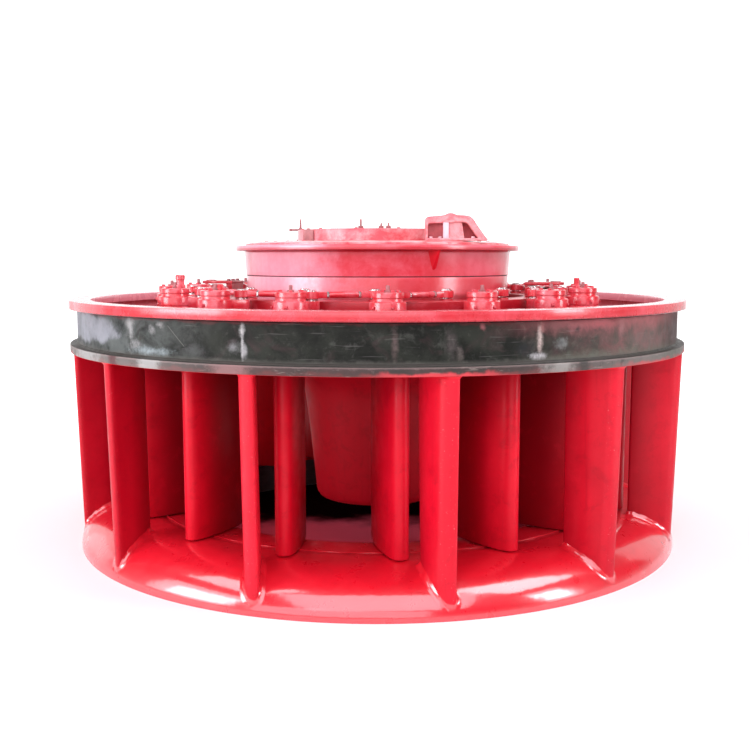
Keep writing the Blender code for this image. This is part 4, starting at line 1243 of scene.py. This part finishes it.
# ------------------------------------------------------------------ operating ring
op = turned(rounded([(R_RING_OUT, Z_RING1), (R_RING_OUT, Z_RING0), (R_RING_IN, Z_RING0),
                     (R_RING_IN, Z_RING1)], 0.005, 4))
lug = lathe([(0.033, Z_RING1 - 0.002), (0.032, Z_RING1 + 0.001), (0.030, Z_RING1 + 0.007),
             (0.028, Z_RING1 + 0.0082)], 24)
for k in range(N_GATE):
    op.extend(lug, at(polar(R_RING_PIN, T_GATE + RING_PIN_STEP + 22.5 * k)))
for t in (78.1, 258.1):
    turn = Matrix.Rotation(math.radians(t - 90.0), 4, 'Z')
    outline = rounded([(0.742, -0.090), (0.850, -0.090), (0.931, -0.045), (0.931, 0.045),
                       (0.850, 0.090), (0.742, 0.090)], [0.004, 0.03, 0.04, 0.04, 0.03, 0.004], 5)
    op.extend(prism(outline, 1.232, 1.246, 0.003), turn)
    op.extend(prism([(0.745, -0.085), (0.765, -0.085), (0.765, 0.085), (0.745, 0.085)],
                    Z_RING1 - 0.001, 1.233, 0.0), turn)
    for y in (-0.070, 0.070):
        op.extend(prism([(0.750, y - 0.006), (0.780, y - 0.006), (0.780, y + 0.006),
                         (0.750, y + 0.006)], Z_RING1 - 0.001, 1.2325, 0.001), turn)
place(op.object("operating_ring_fine", [MAT_OPERATING], 32), "operating_ring", "operating_ring",
      slot="red_paint")
ear = Build()
for t in (78.1, 258.1):
    turn = Matrix.Rotation(math.radians(t - 90.0), 4, 'Z')
    eye = lathe([(0.026, 1.2455), (0.026, 1.2490), (0.024, 1.2505), (0.017, 1.2505)], 28)
    ear.extend(eye, turn @ Matrix.Translation((0.890, 0, 0)))
    for x, y in ((0.770, -0.065), (0.770, 0.065), (0.770, 0.0)):
        ear.extend(bolt(0.018, 0.008, 0.014, 0.002), turn @ Matrix.Translation((x, y, 1.246)))
place(ear.object("ear_bolts", [MAT_STUD], 32), "operating_ring", slot="steel")

# ------------------------------------------------------------------ guide vanes
def gate_outline(n=96):
    """Chordwise outline, stem at the origin, blunt nose towards +X."""
    half = [(0.212, 0.0), (0.2095, 0.0130), (0.200, 0.0260), (0.183, 0.0350),
            (0.148, 0.0425), (0.090, 0.0475), (0.0, 0.0480), (-0.075, 0.0405),
            (-0.150, 0.0270), (-0.215, 0.0110), (-0.238, 0.0045)]
    whole = list(reversed(half)) + [(u, -v) for u, v in half[1:]]
    return [tuple(p) for p in curve(whole, n, 12, 0.11)]


gate_pts = gate_outline()
leaf = prism(gate_pts, Z_FLAT + 0.005, Z_LIP - 0.005, 0.0025)


def gate_extra(kind):
    b = Build()
    b.extend(leaf, mat=0)
    # collar between leaf and cover, stem, hub
    b.extend(lathe([(0.046, Z_LIP - 0.010), (0.046, 1.111)], 32), mat=0)
    b.extend(lathe([(0.072, Z_HUB0), (0.076, Z_HUB0 + 0.004), (0.076, Z_HUB0 + 0.024),
                    (0.0735, Z_HUB0 + 0.027), (0.0735, Z_HUB0 + 0.031), (0.076, Z_HUB0 + 0.034),
                    (0.076, Z_HUB1 - 0.006), (0.0745, Z_HUB1 - 0.002), (0.071, Z_HUB1),
                    (0.0640, Z_HUB1), (0.0625, Z_HUB1 + 0.004), (0.0625, Z_HUB1 + 0.013),
                    (0.0655, Z_HUB1 + 0.016), (0.0655, 1.2195), (0.0640, 1.2225), (0.0600, 1.2238)],
                   44), mat=1)
    a = math.radians(180.0 - GATE_LEAN - LEVER_TURN)
    rot = Matrix.Rotation(a, 4, 'Z')
    tip = [(LEVER + 0.036 * math.cos(c), 0.036 * math.sin(c)) for c in
           [math.radians(x) for x in range(-80, 81, 16)]]
    web = [(0.030, -0.043), (0.060, -0.043)] + tip + [(0.060, 0.043), (0.030, 0.043)]
    b.extend(prism(web, Z_HUB0 + 0.022, Z_HUB1 - 0.004, 0.003), rot, mat=1)
    pin = Matrix.Translation(rot @ Vector((LEVER, 0, 0)))
    b.extend(lathe([(0.030, Z_HUB1 - 0.006), (0.030, Z_HUB1 + 0.002), (0.028, Z_HUB1 + 0.0040),
                    (0.020, Z_HUB1 + 0.0042), (0.020, 1.2255), (0.018, 1.2265)], 24), pin, mat=2)
    # cap bolts and the hanging screw of the stem
    for c in range(4):
        m = rot @ Matrix.Rotation(math.radians(45 + 90 * c), 4, 'Z') @ Matrix.Translation((0.044, 0, 1.2236))
        b.extend(bolt(0.015, 0.006, 0.011, 0.002), m, mat=3)
    b.extend(lathe([(0.014, 1.2230), (0.014, 1.230), (0.008, 1.231), (0.008, 1.248), (0.006, 1.251)],
                   16), mat=4)
    # two short studs on the split side of the hub, painted over
    for s in (-1, 1):
        side = Matrix.Rotation(a + math.pi, 4, 'Z') @ Matrix.Translation((0.064, s * 0.036, Z_HUB0 + 0.048)) @ \
            Matrix.Rotation(math.radians(-90 * s), 4, 'X')
        b.extend(bolt(0.014, 0.007, 0.010, 0.002), side, mat=3)
    return b


gate_build = gate_extra(0)
proto = gate_build.object("guide_vane_fine_01", [MAT_GATE, MAT_LEVER, MAT_PIN, MAT_BOLT, MAT_STUD], 34)
gate_mesh = proto.data.copy()
for k in range(N_GATE):
    name = "guide_vane_fine_%02d" % (k + 1)
    obj = proto if k == 0 else bpy.data.objects.new(name, gate_mesh.copy())
    if k:
        bpy.context.collection.objects.link(obj)
    t = T_GATE + 22.5 * k
    m = Matrix.Translation(polar(R_GATE, t)) @ Matrix.Rotation(math.radians(t - 90 + GATE_LEAN), 4, 'Z')
    obj.data.transform(m)
    node = "guide_vane_%02d" % (k + 1)
    place(obj, node, node, slot="vane_paint")

# tall pieces that stand on a few hubs
def post_on(index, name, offset, profile, tab=None, mat=MAT_LEVER):
    t = T_GATE + 22.5 * index
    inward = -polar(1.0, t)
    across = Vector((math.cos(math.radians(t)), math.sin(math.radians(t)), 0.0))
    c = polar(R_GATE, t) + inward * offset[0] + across * offset[1]
    b = lathe(profile, 20)
    obj_b = Build()
    obj_b.extend(b, at(c))
    if tab:
        obj_b.extend(tab, at(c))
    node = "guide_vane_%02d" % (index % N_GATE + 1)
    place(obj_b.object(name, [mat], 32), node, slot="red_paint")


post_on(-3, "lifting_pin_a", (0.024, 0.0),
        [(0.024, 1.2236), (0.024, 1.236), (0.019, 1.240), (0.019, 1.262), (0.022, 1.264),
         (0.022, 1.279), (0.019, 1.284), (0.012, 1.285)],
        box_build(-0.046, -0.018, -0.010, 0.010, 1.2234, 1.236, 0.002))
post_on(3, "lifting_pin_b", (0.030, 0.0),
        [(0.018, 1.2236), (0.018, 1.232), (0.013, 1.235), (0.013, 1.262), (0.014, 1.266),
         (0.011, 1.269)])
post_on(-2, "lifting_pin_c", (0.022, 0.004),
        [(0.020, 1.2236), (0.020, 1.236), (0.016, 1.240), (0.016, 1.247), (0.012, 1.250)])

# ------------------------------------------------------------------ links
link_len = (polar(R_RING_PIN, RING_PIN_STEP) - (polar(R_GATE, 0) + LEVER * lever_dir(0.0))).length


def link_build():
    b = Build()
    z0, z1 = Z_LINK0, Z_LINK1
    zc = (z0 + z1) / 2
    n = 28
    o1 = circle(0.034, n)
    i1 = circle(0.0215, n)
    b.extend(ring_prism(o1, i1, z0, z1, 0.002), mat=0)
    o2 = circle(0.032, n, link_len, 0.0)
    b.extend(ring_prism(o2, circle(0.0205, n, link_len, 0.0), z0, z1, 0.002), mat=0)
    b.extend(prism([(0.026, -0.017), (0.066, -0.0135), (0.066, 0.0135), (0.026, 0.017)],
                   z0 + 0.002, z1 - 0.002, 0.002), mat=0)
    b.extend(prism([(link_len - 0.064, -0.0135), (link_len - 0.025, -0.017),
                    (link_len - 0.025, 0.017), (link_len - 0.064, 0.0135)],
                   z0 + 0.002, z1 - 0.002, 0.002), mat=0)
    rod = lathe([(0.0095, 0.058), (0.0095, 0.078), (0.0128, 0.079), (0.0135, 0.081),
                 (0.0140, 0.110), (0.0145, 0.140), (0.0140, 0.172), (0.0135, 0.200),
                 (0.0128, 0.202), (0.0095, 0.203), (0.0095, link_len - 0.058)], 20)
    m = Matrix.Translation((0, 0, zc)) @ Matrix.Rotation(math.radians(90), 4, 'Y')
    b.extend(rod, m, mat=0)
    for x in (0.068, link_len - 0.073):
        hexa = prism(circle(0.0142, 6), 0.0, 0.0085, 0.0012)
        b.extend(hexa, Matrix.Translation((x, 0, zc)) @ Matrix.Rotation(math.radians(90), 4, 'Y'), mat=1)
    # pin, head and washer at the operating ring's end
    b.extend(lathe([(0.0200, z0 - 0.0045), (0.0202, z0), (0.0202, z1), (0.027, z1 + 0.0004),
                    (0.027, z1 + 0.0030), (0.020, z1 + 0.0034), (0.020, z1 + 0.007),
                    (0.017, z1 + 0.0088)], 24), Matrix.Translation((link_len, 0, 0)), mat=1)
    return b


lb = link_build()
proto_l = lb.object("link_fine_01", [MAT_LEVER, MAT_PIN], 34)
link_mesh = proto_l.data.copy()
for k in range(N_GATE):
    name = "link_fine_%02d" % (k + 1)
    obj = proto_l if k == 0 else bpy.data.objects.new(name, link_mesh.copy())
    if k:
        bpy.context.collection.objects.link(obj)
    t = T_GATE + 22.5 * k
    a = polar(R_GATE, t) + LEVER * lever_dir(t)
    d = polar(R_RING_PIN, t + RING_PIN_STEP) - a
    obj.data.transform(Matrix.Translation(a) @ Matrix.Rotation(math.atan2(d.y, d.x), 4, 'Z'))
    node = "link_%02d" % (k + 1)
    place(obj, node, node, slot="red_paint")

# ------------------------------------------------------------------ stage
def stage_material(name, base, rough, glow):
    """Pale floor that runs up into a bright wall behind the object; inside
    the throat it is painted dark as shade, with a painted reddish patch of
    light towards the front."""
    g = Graph(name)
    n = g.noise(0.6, 3.0, 0.5)
    c = g.mix(g.span(n, 0.3, 0.7), base, tuple(v * 0.985 for v in base))
    x, y, z = g.xyz()
    away = g.math('SQRT', g.math('ADD', g.math('MULTIPLY', x, x), g.math('MULTIPLY', y, y)))
    # painted shade inside the throat, with a painted reddish patch of light towards the front
    throat_lit_patch = g.span(g.math('ADD', y, g.math('MULTIPLY', g.math('SUBTRACT', g.noise(4.0, 5.0), 0.5), 0.5)),
                  0.16, -0.14)
    shade = g.mix(throat_lit_patch, (0.0045, 0.0008, 0.0010), (0.620, 0.085, 0.135))
    c = g.mix(g.span(away, 0.956, 0.948), c, shade)
    g.link(g.span(away, 0.948, 0.970, 0.0, 0.15), g.bsdf.inputs["Specular IOR Level"])
    g.bsdf.inputs["Emission Color"].default_value = (1.0, 1.0, 1.0, 1.0)
    lift = g.span(y, -0.8, 4.5, 0.10, glow)
    # the glow keeps to what stands behind the object
    beside = g.math('SUBTRACT', g.math('ABSOLUTE', x), g.math('MULTIPLY', g.math('ADD', y, 5.2), 0.42))
    lift = g.math('MULTIPLY', lift, g.span(beside, 0.9, 0.0, 0.35, 1.0))
    lift = g.math('MAXIMUM', lift, g.span(away, 6.0, 11.0, 0.0, 0.48))
    # painted pools of light on the floor beside the object, glowing as if from the two windows
    for cx, cy, reach in ((-3.4, -2.2, 1.9), (3.3, -2.3, 1.5)):
        u, v = g.math('SUBTRACT', x, cx), g.math('SUBTRACT', y, cy)
        d = g.math('SQRT', g.math('ADD', g.math('MULTIPLY', u, u), g.math('MULTIPLY', v, v)))
        lift = g.math('ADD', lift, g.span(d, reach, reach * 0.35, 0.0, 1.6))
    lift = g.math('MULTIPLY', lift, g.span(away, 0.948, 0.970))
    g.link(lift, g.bsdf.inputs["Emission Strength"])
    ro = g.span(g.noise(3.0, 3.0), 0.3, 0.7, rough, rough + 0.06)
    return g.done(c, ro)


floor_v, floor_f = [], []
path = [(-18.0, 0.0), (9.0, 0.0)]
for i in range(1, 17):
    a = math.radians(90.0 * i / 16)
    path.append((9.0 + 4.0 * math.sin(a), 4.0 - 4.0 * math.cos(a)))
path.append((13.0, 14.0))
for y, z in path:
    floor_v += [(-26.0, y, z), (26.0, y, z)]
for i in range(len(path) - 1):
    floor_f.append([2 * i, 2 * i + 1, 2 * i + 3, 2 * i + 2])
floor = new_object("floor", floor_v, floor_f,
                   stage_material("pale_floor", (0.74, 0.74, 0.74), 0.60, 0.95),
                   None, 40, recalc=False)

world = bpy.data.worlds.new("studio")
bpy.context.scene.world = world
world.use_nodes = True
bg = world.node_tree.nodes["Background"]
bg.inputs["Color"].default_value = (1.0, 0.99, 1.0, 1.0)
bg.inputs["Strength"].default_value = 1.0
# pale below and along the horizon, dim overhead
tree = world.node_tree
coord = tree.nodes.new("ShaderNodeTexCoord")
split = tree.nodes.new("ShaderNodeSeparateXYZ")
fall = tree.nodes.new("ShaderNodeMapRange")
fall.inputs["From Min"].default_value = 0.0
fall.inputs["From Max"].default_value = 0.22
fall.inputs["To Min"].default_value = 0.52
fall.inputs["To Max"].default_value = 0.06
tree.links.new(coord.outputs["Generated"], split.inputs[0])
tree.links.new(split.outputs["Z"], fall.inputs["Value"])
tree.links.new(fall.outputs[0], bg.inputs["Strength"])


def area(name, loc, target, size, size_y, power, color=(1, 1, 1)):
    data = bpy.data.lights.new(name, 'AREA')
    data.shape = 'RECTANGLE'
    data.size, data.size_y = size, size_y
    data.energy = power
    data.color = color
    obj = bpy.data.objects.new(name, data)
    obj.location = loc
    d = Vector(target) - Vector(loc)
    obj.rotation_euler = d.to_track_quat('-Z', 'Y').to_euler()
    bpy.context.collection.objects.link(obj)


HAZE = (1.0, 0.90, 0.98)


def panel(name, target, az, el, dist, size, size_y, radiance, color=HAZE):
    """Soft box seen from the target at an azimuth (0 is the front, positive
    to the right) and elevation."""
    a, e = math.radians(az), math.radians(el)
    loc = (target[0] + dist * math.cos(e) * math.sin(a),
           target[1] - dist * math.cos(e) * math.cos(a), target[2] + dist * math.sin(e))
    area(name, loc, target, size, size_y, radiance * math.pi * size * size_y, color)


panel("front_low", (0.0, -1.0, 1.1), -14.0, 9.0, 8.0, 10.0, 3.4, 2.05)
panel("front_high", (0.0, -1.2, 0.2), 2.0, 51.0, 8.0, 9.0, 7.0, 2.95)
panel("left", (-0.75, -1.2, 0.4), -70.0, 20.0, 6.0, 4.4, 4.0, 2.9, (1.0, 0.95, 1.0))
panel("left_core", (-0.75, -1.2, 0.4), -66.0, 18.0, 5.9, 3.0, 2.5, 6.5, (1.0, 0.95, 1.0))
panel("right", (0.9, -1.1, 0.4), 67.0, 20.0, 6.0, 1.8, 4.0, 3.2, (1.0, 0.95, 1.0))
panel("right_core", (0.9, -1.1, 0.4), 66.0, 20.0, 5.9, 1.4, 2.4, 8.5, (1.0, 0.95, 1.0))
panel("left_top", (0.0, 0.0, 1.3), -72.0, 50.0, 6.0, 3.4, 2.6, 4.0, (1.0, 0.95, 1.0))
panel("right_top", (0.0, 0.0, 1.3), 72.0, 48.0, 6.0, 3.4, 3.0, 6.0, (1.0, 0.95, 1.0))
area("left_back", (-5.6, 2.6, 1.1), (0, 0, 0.9), 3.2, 2.0, 12, (1.0, 0.90, 0.96))
area("roof", (0.0, 1.8, 7.5), (0, 1.2, 0.0), 6.0, 4.0, 35)

scene = bpy.context.scene
scene.view_settings.view_transform = 'Standard'
scene.view_settings.look = 'None'
scene.view_settings.exposure = 0.0
